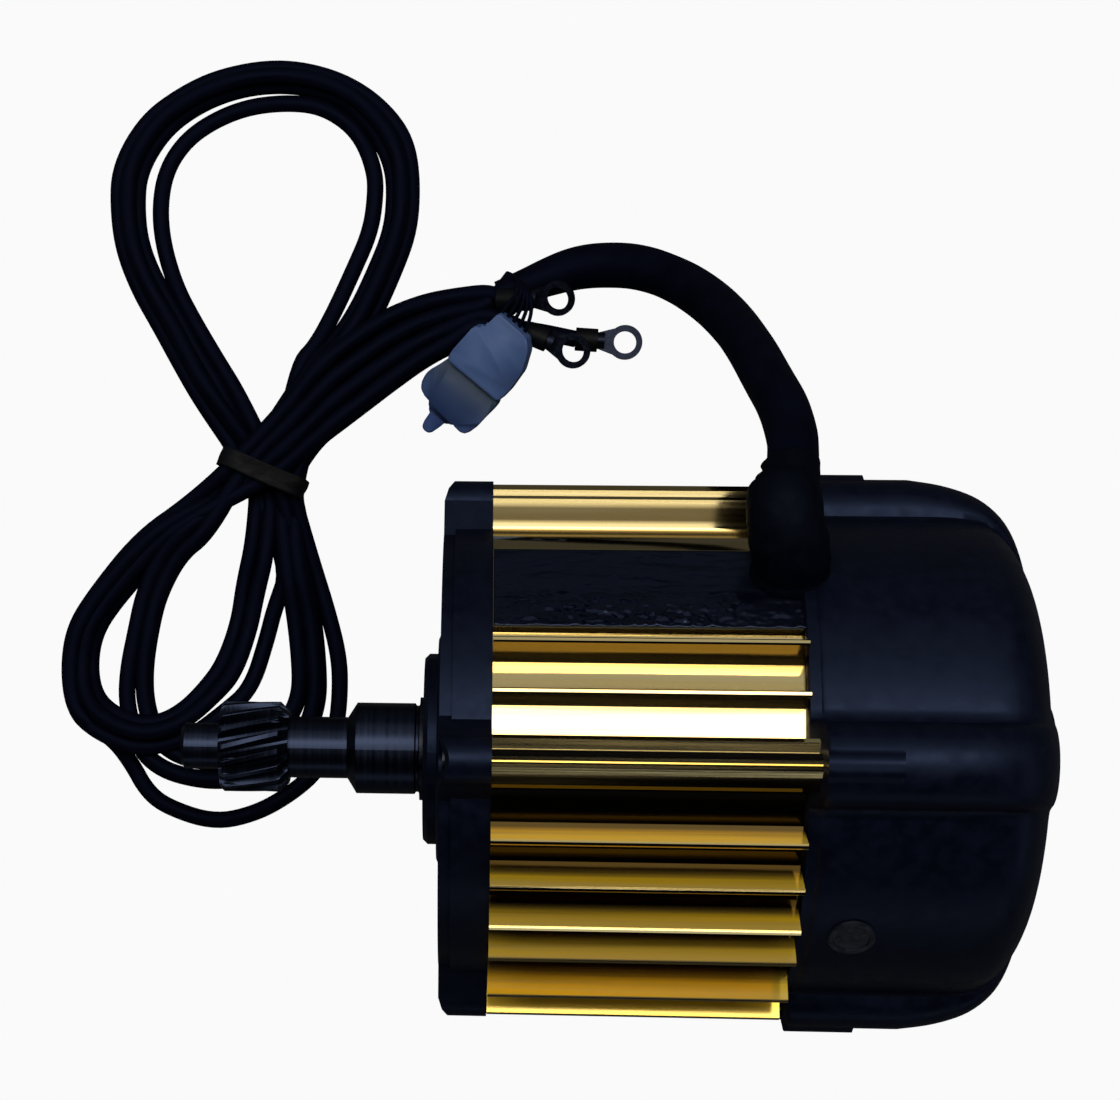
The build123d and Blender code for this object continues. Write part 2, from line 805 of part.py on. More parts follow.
def bearing(prefix, start, width, bore_r, outer_r, balls):
    """Makes the inner race, the outer race and the caged balls of one bearing."""
    pitch_r = (bore_r + outer_r) / 2
    ball_r = 0.29 * (outer_r - bore_r)
    groove_r = ball_r + BALL_GAP
    middle = start + width / 2
    inner_top = pitch_r - 0.6 * ball_r
    outer_bottom = pitch_r + 0.6 * ball_r
    races = []
    for name, low, high in (("inner", bore_r, inner_top), ("outer", outer_bottom, outer_r)):
        with BuildPart() as race:
            with BuildSketch(Plane.XZ):
                with Locations((middle, (low + high) / 2)):
                    Rectangle(width, high - low)
                with Locations((middle, pitch_r)):
                    Circle(groove_r, mode=Mode.SUBTRACT)
            revolve(axis=Axis.X)
        race.part.label = prefix + "_bearing_" + name
        races.append(race.part)
    with BuildPart() as cage:
        with BuildSketch(Plane.XZ):
            with Locations((middle, pitch_r)):
                Rectangle(CAGE_WIDTH * ball_r, CAGE_THICKNESS * ball_r)
        revolve(axis=Axis.X)
        for index in range(balls):
            angle = index * 360.0 / balls
            seat = Plane(around(pitch_r, angle, middle), x_dir=(1, 0, 0), z_dir=around(1, angle))
            with Locations(seat):
                Sphere(ball_r)
    cage.part.label = prefix + "_bearing_balls"
    return races + [cage.part]


def boot_route():
    """Gives the boot's foot, bend start, bend end, exit and exit direction, as (y, z)."""
    up = around(1, LAND_ANGLE)
    across = around(1, LAND_ANGLE + 90)
    middle = (BOOT_LOW + BOOT_HIGH) / 2 + 1.2
    foot = [LAND_DISTANCE * up[i] + middle * across[i] for i in (1, 2)]
    bend = [foot[0] + 4.0 * up[1], foot[1] + 4.0 * up[2]]
    rise = math.atan2(up[2], up[1])
    drop = math.radians(-BOOT_DROP)
    bend_end = [
        bend[0] + BOOT_BEND_R * (math.sin(rise) - math.sin(drop)),
        bend[1] + BOOT_BEND_R * (math.cos(drop) - math.cos(rise)),
    ]
    ahead = (math.cos(drop), math.sin(drop))
    leave = [bend_end[i] + BOOT_NECK_L * ahead[i] for i in (0, 1)]
    return foot, bend, bend_end, leave, ahead


BOOT_X = (BOOT_START + BOOT_END) / 2


def cable_boot():
    """Rubber elbow: a foot on the land, plugs in both cable openings and a bent neck."""
    foot, bend, bend_end, _, ahead = boot_route()
    up = around(1, LAND_ANGLE)
    bend_turn = 45.0 + BOOT_DROP
    taper = math.degrees(math.atan((BOOT_TUBE_R - BOOT_NECK_R) / BOOT_NECK_L))
    with BuildPart() as boot:
        with BuildSketch(Plane.YZ.offset(BOOT_START)):
            boot_box(LAND_DISTANCE, LAND_DISTANCE + BOOT_FOOT_T, BOOT_LOW, BOOT_HIGH)
        extrude(amount=BOOT_END - BOOT_START)
        fillet(boot.edges().filter_by(lambda e: abs(e.center().X - BOOT_START) < 0.01), 2.0)
        with BuildSketch(Plane.YZ.offset(FRAME_END)):
            boot_box(BORE_R + 1, LAND_DISTANCE, BOOT_LOW, BOOT_HIGH)
        extrude(amount=BOOT_END - FRAME_END)
        with BuildSketch(Plane.YZ.offset(FRAME_END - CABLE_SLOT_L)):
            boot_box(BORE_R + 1, LAND_DISTANCE, -CABLE_SLOT_HALF, CABLE_SLOT_HALF)
        extrude(amount=CABLE_SLOT_L)
        with BuildLine():
            Line((BOOT_X, *foot), (BOOT_X, *bend))
            mid_turn = math.radians(45.0 - bend_turn / 2)
            rise = math.radians(45.0)
            middle = (
                BOOT_X,
                bend[0] + BOOT_BEND_R * (math.sin(rise) - math.sin(mid_turn)),
                bend[1] + BOOT_BEND_R * (math.cos(mid_turn) - math.cos(rise)),
            )
            ThreePointArc((BOOT_X, *bend), middle, (BOOT_X, *bend_end))
        with BuildSketch(Plane(origin=(BOOT_X, *foot), x_dir=(1, 0, 0), z_dir=up)):
            Circle(BOOT_TUBE_R)
        sweep()
        exit_plane = Plane(origin=(BOOT_X, *bend_end), x_dir=(1, 0, 0), z_dir=(0, *ahead))
        with BuildSketch(exit_plane):
            Circle(BOOT_TUBE_R)
        extrude(amount=BOOT_NECK_L, taper=taper)
    boot.part.label = "cable_boot"
    return boot.part


def bend_radii(points):
    """Gives a bend radius for each corner, from its shorter run and its turn."""
    radii = []
    for before, corner, after in zip(points, points[1:], points[2:]):
        first = Vector(*corner) - Vector(*before)
        second = Vector(*after) - Vector(*corner)
        half_turn = math.radians(first.get_angle(second)) / 2
        radii.append(0.45 * min(first.length, second.length) / math.tan(half_turn))
    return radii


def tube(label, points, radius):
    """Sweeps a plain tube along straight runs joined by tangent arcs."""
    radii = bend_radii(points)
    if radii:
        print(label, "bend radii", [round(value, 1) for value in radii])
    start = Vector(*points[0])
    ahead = Vector(*points[1]) - start
    with BuildPart() as cord:
        with BuildLine() as route:
            if radii:
                FilletPolyline(*points, radius=radii)
            else:
                Line(*points)
        with BuildSketch(Plane(origin=start, z_dir=ahead)):
            Circle(radius)
        sweep(path=route.line)
    print(label, "length", round(sum(edge.length for edge in route.edges()), 1))
    cord.part.label = label
    return cord.part


def trunk_points():
    """Corner points of the trunk cable, from the boot down to the floor."""
    _, _, _, leave, ahead = boot_route()
    start = (BOOT_X, *leave)
    return [
        start,
        (BOOT_X, leave[0] + 13.7 * ahead[0], leave[1] + 13.7 * ahead[1]),
        (82.5, 99.5, 14.0),
        (76.5, 118.5, -14.0),
        (66.0, 130.0, -38.0),
        (48.0, 135.5, -53.0),
        TRUNK_END,
    ]


# Places on the floor, as (x, y), and the heights of what lies there
TRUNK_END = (28.0, 132.1, FLOOR_Z + 7.0)
ARM_UPPER = ((25.6, 136.8), (13.3, 131.3), (-3.0, 128.2), (-18.3, 123.3), (-31.7, 113.4), (-46.0, 98.9))
ARM_LOWER = ((-39.1, 80.7), (-19.9, 96.2), (-5.6, 107.2), (5.8, 115.9), (15.9, 119.4), (25.7, 127.1))
ARM_STEP_X = 2.2
WAIST = (-53.9, 79.3)
TOP_LOOP = (
    WAIST,
    (-77.9, 111.8),
    (-89.9, 150.7),
    (-79.4, 178.5),
    (-54.2, 187.0),
    (-29.0, 178.4),
    (-17.4, 153.5),
    (-25.4, 123.5),
    WAIST,
)
LOW_LOOP = (
    WAIST,
    (-88.0, 56.0),
    (-100.0, 24.4),
    (-90.6, -2.9),
    (-66.7, -15.3),
    (-43.6, -3.3),
    (-36.3, 23.1),
    (-40.2, 51.4),
    WAIST,
)
TOP_BAND = 14.0
LOW_BAND = 21.0


def lead_hank():
    """Outer shape of the leads that are folded into a figure of eight."""
    trunk_ahead = Vector(*TRUNK_END) - Vector(*trunk_points()[-2])
    with BuildPart() as hank:
        with BuildSketch(Plane.XY.offset(FLOOR_Z)):
            Polygon(*ARM_UPPER, *ARM_LOWER, align=None)
        extrude(amount=LAYER)
        with BuildSketch(Plane.XY.offset(FLOOR_Z)):
            Polygon(*ARM_UPPER, *ARM_LOWER, align=None)
            with Locations((ARM_STEP_X, 0)):
                Rectangle(60, 300, align=(Align.MIN, Align.CENTER), mode=Mode.SUBTRACT)
            for stops, band in ((TOP_LOOP, TOP_BAND), (LOW_LOOP, LOW_BAND)):
                for start, end in zip(stops, stops[1:]):
                    run = Vector(*end) - Vector(*start)
                    turn = math.degrees(math.atan2(run.Y, run.X))
                    middle = (Vector(*start) + Vector(*end)) / 2
                    with Locations(Location(middle, (0, 0, turn))):
                        SlotCenterToCenter(run.length, band)
            with Locations(WAIST):
                Circle(TOP_BAND - 1.0)
        extrude(amount=2 * LAYER)
        split(bisect_by=Plane(origin=TRUNK_END, z_dir=trunk_ahead), keep=Keep.TOP)
        add(tie_band(), mode=Mode.SUBTRACT)
    hank.part.label = "lead_hank"
    return hank.part


def tie_band():
    """Flat band round the waist of the hank."""
    waist_plane = Plane(origin=(*WAIST, FLOOR_Z), x_dir=(0.88, -0.475, 0), z_dir=(0, 0, 1))
    inner_half = TOP_BAND - 2.0
    with BuildPart() as band:
        with BuildSketch(waist_plane):
            Rectangle(2 * (inner_half + TIE_T), 5.5)
        extrude(amount=2 * LAYER + 2 * TIE_T)
        with BuildSketch(waist_plane.offset(TIE_T)):
            Rectangle(2 * inner_half, 5.5)
        extrude(amount=2 * LAYER, mode=Mode.SUBTRACT)
    band.part.label = "hank_tie"
    return band.part


# Free length of each phase lead between the hank and its terminal
LEAD_RUNS = {"a": 11.0, "b": 12.0, "c": 32.0}
# For each ring terminal: start of its sleeve, middle of its ring, tilt about its own length
TERMINALS = {
    "a": ((14.0, 125.5, FLOOR_Z + 8.6), (30.3, 125.1, FLOOR_Z + 14.8), 20.0),
    "b": ((22.2, 116.2, FLOOR_Z + 9.3), (34.9, 110.8, FLOOR_Z + 11.4), 20.0),
    "c": ((35.9, 115.2, FLOOR_Z + 3.3), (50.0, 114.3, FLOOR_Z + 3.3), 0.0),
}


def terminal_plane(name):
    """Plane at a terminal's start: x runs to the ring, y lies across the plate."""
    start, eye, tilt = TERMINALS[name]
    ahead = (Vector(*eye) - Vector(*start)).normalized()
    side = Vector(0, 0, 1).cross(ahead).normalized()
    lifted = side.rotate(Axis((0, 0, 0), tuple(ahead)), tilt)
    return Plane(origin=start, x_dir=ahead, z_dir=ahead.cross(lifted))


def terminal_reach(name):
    """Distance from a terminal's start to the middle of its ring."""
    start, eye, _ = TERMINALS[name]
    return (Vector(*eye) - Vector(*start)).length


def phase_lead(name):
    """Free stretch of a phase lead, straight from inside the hank to its terminal."""
    plane = terminal_plane(name)
    begin = plane.from_local_coords((-LEAD_RUNS[name], 0, 0))
    return tube("phase_lead_" + name, [tuple(begin), tuple(plane.origin)], LEAD_R)


def ring_terminal(name):
    """Crimped terminal: a barrel, a flat neck and a ring with an eye."""
    plane = terminal_plane(name)
    reach = terminal_reach(name)
    barrel_l = reach - RING_R - 1.0
    across = Plane(origin=plane.origin, x_dir=plane.y_dir, z_dir=plane.x_dir)
    with BuildPart() as terminal:
        with BuildSketch(across):
            Circle(LEAD_R)
        extrude(amount=barrel_l)
        with BuildSketch(plane.offset(-RING_T / 2)):
            with Locations((reach, 0)):
                Circle(RING_R)
            Polygon(
                (barrel_l - 1.5, -LEAD_R),
                (reach - 2, -RING_R + 0.8),
                (reach - 2, RING_R - 0.8),
                (barrel_l - 1.5, LEAD_R),
                align=None,
            )
            with Locations((reach, 0)):
                Circle(EYE_R, mode=Mode.SUBTRACT)
        extrude(amount=RING_T)
    terminal.part.label = "ring_terminal_" + name
    return terminal.part


def terminal_sleeve(name):
    """Insulating sleeve on a terminal's barrel."""
    plane = terminal_plane(name)
    across = Plane(origin=plane.origin, x_dir=plane.y_dir, z_dir=plane.x_dir)
    with BuildPart() as sleeve:
        with BuildSketch(across):
            Circle(SLEEVE_R)
            Circle(LEAD_R, mode=Mode.SUBTRACT)
        extrude(amount=terminal_reach(name) - RING_R - 3.0)
    sleeve.part.label = "terminal_sleeve_" + name
    return sleeve.part


# Hall connector, resting with its wire end on the leads
CONNECTOR_W = 17.4
CONNECTOR_H = 8.4
BACK_L = 15.0
FRONT_L = 14.0
MOUTH_DEPTH = 11.0
CONNECTOR_TOP = (15.1, 114.7)
CONNECTOR_AHEAD = (-0.637, -0.771)
CONNECTOR_TILT = 17.0
HALL_CORES_R = 0.85
CONTACT_L = 6.0


def connector_plane():
    """Plane at the connector's wire end: x runs to its mouth, z points up from its underside."""
    drop = math.radians(CONNECTOR_TILT)
    flat = math.cos(drop)
    x_dir = Vector(CONNECTOR_AHEAD[0] * flat, CONNECTOR_AHEAD[1] * flat, -math.sin(drop))
    side = Vector(0, 0, 1).cross(x_dir).normalized()
    return Plane(origin=(*CONNECTOR_TOP, FLOOR_Z + 2 * LAYER + 0.3), x_dir=x_dir, z_dir=x_dir.cross(side))


def hall_connector():
    """Nylon housing: a wide body, a stepped nose with a mouth and a latch tongue."""
    plane = connector_plane()
    total = BACK_L + FRONT_L
    with BuildPart() as housing:
        with BuildSketch(plane):
            with Locations((BACK_L / 2, 0)):
                Rectangle(BACK_L, CONNECTOR_W)
        extrude(amount=CONNECTOR_H)
        with BuildSketch(plane.offset(0.8)):
            with Locations((BACK_L + FRONT_L / 2, 0)):
                Rectangle(FRONT_L, CONNECTOR_W - 2.4)
        extrude(amount=CONNECTOR_H - 1.6)
        with BuildSketch(plane.offset(1.8)):
            with Locations((total, 0)):
                Rectangle(2 * MOUTH_DEPTH, CONNECTOR_W - 4.8)
        extrude(amount=CONNECTOR_H - 3.6, mode=Mode.SUBTRACT)
        with BuildSketch(plane.offset(CONNECTOR_H - 2.4)):
            with Locations((total + 1.5, -CONNECTOR_W / 2 + 3.2)):
                Rectangle(5.0, 3.0)
        extrude(amount=1.6)
    housing.part.label = "hall_connector"
    return housing.part


def connector_contacts():
    """Row of contacts in the mouth of the connector."""
    plane = connector_plane()
    root = BACK_L + FRONT_L - MOUTH_DEPTH
    with BuildPart() as contacts:
        with BuildSketch(plane.offset(CONNECTOR_H / 2 - 0.4)):
            with Locations((root + CONTACT_L / 2, 0)):
                with GridLocations(1, 2.6, 1, 5):
                    Rectangle(CONTACT_L, 1.2)
        extrude(amount=0.8)
    contacts.part.label = "connector_contacts"
    return contacts.part


def hall_cores():
    """Bundled thin cores that arch from the hank over a sleeve to the connector."""
    plane = connector_plane()
    points = [
        (17.7, 132.6, FLOOR_Z + LAYER + HALL_CORES_R),
        (20.9, 129.1, FLOOR_Z + 16.6),
        tuple(plane.from_local_coords((-8.6, 0, CONNECTOR_H / 2))),
        tuple(plane.from_local_coords((0, 0, CONNECTOR_H / 2))),
    ]
    return tube("hall_cores", points, HALL_CORES_R)


def main():
    """Builds every piece and writes it."""
    front_pitch_r = (FRONT_BORE_R + FRONT_OUTER_R) / 2
    save(front_flange())
    save(stator_frame())
    save(rear_cover())
    save(tie_bolts())
    save(label_film())
    save(side_plug())
    save(stator_plate("stator_core", STATOR_START, STATOR_END - STATOR_START))
    save(stator_plate("insulator_front", STATOR_START - INSULATOR_T, INSULATOR_T))
    save(stator_plate("insulator_rear", STATOR_END, INSULATOR_T))
    save(stator_windings())
    save(hall_board())
    save(board_posts())
    save(rotor_shaft())
    save(ring("rotor_core", STATOR_START, STATOR_END, CORE_SEAT_R, CORE_R))
    save(rotor_magnets())
    save(ring("balance_ring_front", STATOR_START - 2.0, STATOR_START, CORE_SEAT_R, MAGNET_R - 1.0))
    save(ring("balance_ring_rear", STATOR_END, STATOR_END + 2.0, CORE_SEAT_R, MAGNET_R - 1.0))
    save(ring("oil_seal", -PILOT_L + 0.3, 2.2, SEAL_RUN_R + 0.05, 18.5))
    save(ring("dust_ring", COLLAR_END + 0.9, -PILOT_L, SEAL_RUN_R, SEAL_RUN_R + 1.4))
    save(ring("flange_circlip", HUB_END - 2.4, HUB_END - 1.2, front_pitch_r + 4.6, FRONT_OUTER_R + 1.5))
    save(ring("wave_washer", REAR_SEAT_END - WASHER_T, REAR_SEAT_END, 13.8, REAR_OUTER_R))
    for piece in bearing("front", FRONT_BEARING_X, FRONT_BEARING_T, FRONT_BORE_R, FRONT_OUTER_R, 9):
        save(piece)
    for piece in bearing("rear", REAR_BEARING_X, REAR_BEARING_T, REAR_BORE_R, REAR_OUTER_R, 8):
        save(piece)
    save(cable_boot())
    save(tube("trunk_cable", trunk_points(), TRUNK_R))
    save(lead_hank())
    save(tie_band())
    for name in TERMINALS:
        save(phase_lead(name))
        save(ring_terminal(name))
        save(terminal_sleeve(name))
    save(hall_connector())
    save(connector_contacts())
    save(hall_cores())


main()
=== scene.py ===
"""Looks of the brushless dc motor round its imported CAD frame.

Camera, studio, finishes and the free leads, and finer pieces in place of some CAD nodes.
"""

import logging
import math
from dataclasses import dataclass
from enum import Enum
from typing import Sequence

import bmesh
import bpy
from mathutils import Matrix, Quaternion, Vector, noise

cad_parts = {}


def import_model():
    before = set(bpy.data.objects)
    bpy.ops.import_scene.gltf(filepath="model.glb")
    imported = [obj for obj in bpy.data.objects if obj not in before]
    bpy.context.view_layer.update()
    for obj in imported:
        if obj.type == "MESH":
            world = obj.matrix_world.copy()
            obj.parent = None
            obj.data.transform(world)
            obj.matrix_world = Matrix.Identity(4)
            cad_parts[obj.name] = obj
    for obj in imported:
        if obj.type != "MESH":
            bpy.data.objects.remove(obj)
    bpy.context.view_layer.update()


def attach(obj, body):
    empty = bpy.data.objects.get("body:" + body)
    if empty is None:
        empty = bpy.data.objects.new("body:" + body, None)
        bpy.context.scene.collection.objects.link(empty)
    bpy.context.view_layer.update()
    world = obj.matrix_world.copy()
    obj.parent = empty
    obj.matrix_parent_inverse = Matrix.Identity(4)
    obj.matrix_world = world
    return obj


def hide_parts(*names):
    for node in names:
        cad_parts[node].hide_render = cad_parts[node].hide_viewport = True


log = logging.getLogger("motor")
MM = 0.001
FLOOR = -72.0
LAND_UP = Vector((0.0, math.sqrt(0.5), math.sqrt(0.5)))
LAND_ACROSS = Vector((0.0, -math.sqrt(0.5), math.sqrt(0.5)))
Pair = tuple[float, float]
Point = tuple[float, float, float]
Colour = tuple[float, float, float]
NodeTree = bpy.types.NodeTree
Socket = bpy.types.NodeSocket
Ring = list[bmesh.types.BMVert]


class Texture(Enum):
    """Shared surface effects, by the name of their node group."""

    GRAIN = "cast_grain"
    STREAKS = "drawn_streaks"
    TURNED = "turned_rings"
    CREASES = "film_creases"
    # Node group with the frame's painted shade and painted reflection masks.
    ZONES = "groove_depth"


def add_node(
    tree: NodeTree, kind: str, inputs: dict[str | int, object] | None = None, **settings: object
) -> bpy.types.Node:
    """Adds a node and fills its inputs.

    Args:
        tree: tree to add to.
        kind: type of the node.
        inputs: sockets to link and plain values to set, by the input's name or number.
        settings: properties of the node, set before its inputs.
    Returns:
        The node.
    """
    node = tree.nodes.new(kind)
    for name, value in settings.items():
        setattr(node, name, value)
    for key, value in (inputs or {}).items():
        if isinstance(value, Socket):
            tree.links.new(value, node.inputs[key])
        else:
            node.inputs[key].default_value = value
    return node


def maths(tree: NodeTree, operation: str, *values: Socket | float) -> Socket:
    """Result of a maths operation on sockets and numbers."""
    return add_node(tree, "ShaderNodeMath", dict(enumerate(values)), operation=operation).outputs[0]


def contrast(tree: NodeTree, value: Socket, low: float, high: float) -> Socket:
    """Stretches the part of value between low and high over 0 to 1."""
    inputs = {"From Min": low, "From Max": high, "Value": value}
    return add_node(tree, "ShaderNodeMapRange", inputs).outputs[0]


def mix_colours(tree: NodeTree, factor: Socket, first: Socket | Colour, second: Colour) -> Socket:
    """Mixes a second colour over the first.

    Args:
        tree: tree to add to.
        factor: share of the second colour.
        first: colour underneath, plain or from another node.
        second: colour on top.
    Returns:
        The mixed colour.
    """
    under = first if isinstance(first, Socket) else (*first, 1.0)
    inputs = {"Factor": factor, "A": under, "B": (*second, 1.0)}
    return add_node(tree, "ShaderNodeMix", inputs, data_type="RGBA").outputs["Result"]


def new_group(name: str, inputs: dict[str, float]) -> NodeTree:
    """Starts a shader node group with float inputs and the outputs Factor and Height.

    Args:
        name: name of the group.
        inputs: input names and their default values.
    Returns:
        The empty group, with its group input and output nodes.
    """
    tree = bpy.data.node_groups.new(name, "ShaderNodeTree")
    for label, value in inputs.items():
        socket = tree.interface.new_socket(label, in_out="INPUT", socket_type="NodeSocketFloat")
        socket.default_value = value
    for label in ("Factor", "Height"):
        tree.interface.new_socket(label, in_out="OUTPUT", socket_type="NodeSocketFloat")
    tree.nodes.new("NodeGroupInput")
    tree.nodes.new("NodeGroupOutput")
    return tree


def put_out(tree: NodeTree, factor: Socket, height: Socket) -> None:
    """Links the two outputs of a group.

    Args:
        tree: the group.
        factor: its Factor.
        height: its Height.
    """
    out = tree.nodes["Group Output"]
    tree.links.new(factor, out.inputs["Factor"])
    tree.links.new(height, out.inputs["Height"])


def noise_node(
    tree: NodeTree, stretch: Point, detail: float, distortion: float = 0.0
) -> bpy.types.Node:
    """Adds noise on object coordinates, scaled by the group's Scale input and stretched by axis.

    Args:
        tree: group to add to.
        stretch: factor on each coordinate; a small one draws the noise out along that axis.
        detail: octaves of the noise.
        distortion: how far the noise is folded on itself.
    Returns:
        The noise node.
    """
    place = add_node(tree, "ShaderNodeTexCoord").outputs["Object"]
    mapped = add_node(tree, "ShaderNodeMapping", {"Vector": place, "Scale": stretch}).outputs[0]
    scale = tree.nodes["Group Input"].outputs["Scale"]
    inputs = {"Vector": mapped, "Scale": scale, "Detail": detail, "Distortion": distortion}
    return add_node(tree, "ShaderNodeTexNoise", inputs)


@dataclass(frozen=True)
class NoiseEffect:
    """Group whose Factor is spread noise and whose Height is that noise with a finer one on it."""

    texture: Texture
    scale: float
    stretch: Point
    detail: float
    span: Pair
    distortion: float = 0.0
    finer: float = 4.0
    fine_share: float = 0.35

    def build(self) -> None:
        """Makes the node group."""
        tree = new_group(self.texture.value, {"Scale": self.scale})
        coarse = noise_node(tree, self.stretch, self.detail, self.distortion).outputs[0]
        fine_stretch = tuple(self.finer * share for share in self.stretch)
        fine = noise_node(tree, fine_stretch, self.detail).outputs[0]
        height = maths(tree, "MULTIPLY_ADD", fine, self.fine_share, coarse)
        put_out(tree, contrast(tree, coarse, *self.span), height)


@dataclass(frozen=True)
class FrameZones:
    """Zones of the finned frame's surface where shade and a yellow reflection are painted.

    Each pair says where the edge of a zone begins and where the zone is full, in metres.
    """

    behind_x: Pair = (0.0855, 0.0862)
    behind_radius: Pair = (0.0645, 0.0625)
    floor_y: Pair = (-0.007, -0.009)
    floor_radius: Pair = (0.0672, 0.0640)
    crown_y: Pair = (-0.0028, -0.0036)
    crown_radius: Pair = (0.0668, 0.0662)
    crown_end: Pair = (-0.0074, -0.0068)
    rib_width: Pair = (0.0585, 0.0595)
    rib_z: Pair = (0.0085, 0.0075)
    rib_y: Pair = (0.0640, 0.0625)
    flank_y: Pair = (-0.012, -0.014)
    flank_root: Pair = (0.0604, 0.0645)
    flank_tip: Pair = (0.0687, 0.0683)
    rib_share: Pair = (0.6, 0.4)

    @staticmethod
    def zone(tree: NodeTree, *edges: tuple[Socket, Pair]) -> Socket:
        """Mask that is 1 where every edge is full.

        Args:
            tree: group to add to.
            edges: values, each with the pair that bounds the zone on it.
        Returns:
            The product of the edges' masks.
        """
        mask, *others = [contrast(tree, value, *span) for value, span in edges]
        for other in others:
            mask = maths(tree, "MULTIPLY", mask, other)
        return mask

    def build(self) -> None:
        """Makes the node group.

        Its Factor is 1 where shade is painted: behind the fins, on the floors between those at -Y,
        beside the crown rib and on the side ribs. Its Height is 1 where a yellow reflection is
        painted, on the flanks of the fins at -Y.
        """
        tree = new_group(Texture.ZONES.value, {})
        place = add_node(tree, "ShaderNodeTexCoord").outputs["Object"]
        parts = add_node(tree, "ShaderNodeSeparateXYZ", {0: place}).outputs
        x, y, z = parts["X"], parts["Y"], parts["Z"]
        square = maths(tree, "ADD", maths(tree, "MULTIPLY", y, y), maths(tree, "MULTIPLY", z, z))
        radius = maths(tree, "SQRT", square)
        width = maths(tree, "ABSOLUTE", y)
        # Painted shade: behind the fins, on the floors at -Y, beside the crown rib and on the side
        # ribs.
        behind = self.zone(tree, (x, self.behind_x), (radius, self.behind_radius))
        floors = self.zone(tree, (y, self.floor_y), (radius, self.floor_radius))
        crown = self.zone(tree, (y, self.crown_y), (radius, self.crown_radius), (y, self.crown_end))
        ribs = self.zone(tree, (width, self.rib_width), (z, self.rib_z), (y, self.rib_y))
        # Painted yellow reflection: the flanks of the fins at -Y, away from the side ribs.
        root, tip = (radius, self.flank_root), (radius, self.flank_tip)
        flanks = self.zone(tree, (y, self.flank_y), root, tip)
        high = maths(tree, "MAXIMUM", behind, crown)
        painted_shade = maths(tree, "MAXIMUM", high, maths(tree, "MAXIMUM", floors, ribs))
        painted_reflection = maths(tree, "MINIMUM", flanks, contrast(tree, ribs, *self.rib_share))
        put_out(tree, painted_shade, painted_reflection)


EFFECTS = (
    # Masks of the frame's painted shade and painted reflection.
    FrameZones(),
    NoiseEffect(Texture.GRAIN, 260.0, (1.0, 1.0, 1.0), 5.0, (0.35, 0.7)),
    NoiseEffect(Texture.STREAKS, 420.0, (0.02, 1.0, 1.0), 4.0, (0.35, 0.68)),
    NoiseEffect(Texture.TURNED, 900.0, (1.0, 0.004, 0.004), 3.0, (0.3, 0.7)),
    NoiseEffect(Texture.CREASES, 110.0, (0.35, 1.0, 1.0), 6.0, (0.4, 0.65), 1.6),
)


@dataclass(frozen=True)
class Finish:
    """A procedural material.

    The texture mixes base with second colour, spreads the roughness and gives the bump. Where an
    attribute of the mesh is named, it mixes the colours instead.
    """

    name: str
    base: Colour
    second: Colour
    roughness: Pair
    texture: Texture = Texture.GRAIN
    scale: float = 260.0
    metallic: float = 0.0
    bump: float = 0.0
    height: float = 0.0004
    tint: Colour = (1.0, 1.0, 1.0)
    specular: float = 0.5
    subsurface: float = 0.0
    scatter: float = 0.004
    attribute: str = ""

    def add_painted_light(self, tree: NodeTree, colour: Socket, blend: Socket) -> Socket:
        """Gives the colour back as it is; a finish with painted shade and reflection does more."""
        return colour

    def build(self) -> bpy.types.Material:
        """Makes the material, or returns the one made before.

        Returns:
            The material.
        """
        found = bpy.data.materials.get("finish_" + self.name)
        if found:
            return found
        material = bpy.data.materials.new("finish_" + self.name)
        material.use_nodes = True
        tree = material.node_tree
        shader = tree.nodes["Principled BSDF"]
        group = bpy.data.node_groups[self.texture.value]
        effect = add_node(tree, "ShaderNodeGroup", {"Scale": self.scale}, node_tree=group).outputs
        blend = effect["Factor"]
        if self.attribute:
            reader = add_node(tree, "ShaderNodeAttribute", attribute_name=self.attribute)
            blend = reader.outputs["Fac"]
        colour = self.add_painted_light(tree, mix_colours(tree, blend, self.base, self.second), blend)
        smooth, rough = self.roughness
        spread = {"Value": effect["Factor"], "To Min": smooth, "To Max": rough}
        relief = {"Strength": self.bump, "Distance": self.height, "Height": effect["Height"]}
        for name, source in (
            ("Base Color", colour),
            ("Roughness", add_node(tree, "ShaderNodeMapRange", spread).outputs[0]),
            ("Normal", add_node(tree, "ShaderNodeBump", relief).outputs[0]),
        ):
            tree.links.new(source, shader.inputs[name])
        for name, value in (
            ("Metallic", self.metallic),
            ("Specular IOR Level", self.specular),
            ("Specular Tint", (*self.tint, 1.0)),
            ("Subsurface Weight", self.subsurface),
            ("Subsurface Scale", self.scatter),
        ):
            shader.inputs[name].default_value = value
        return material

    def dress(self, piece: bpy.types.Object) -> None:
        """Gives the piece this finish alone."""
        piece.data.materials.clear()
        piece.data.materials.append(self.build())


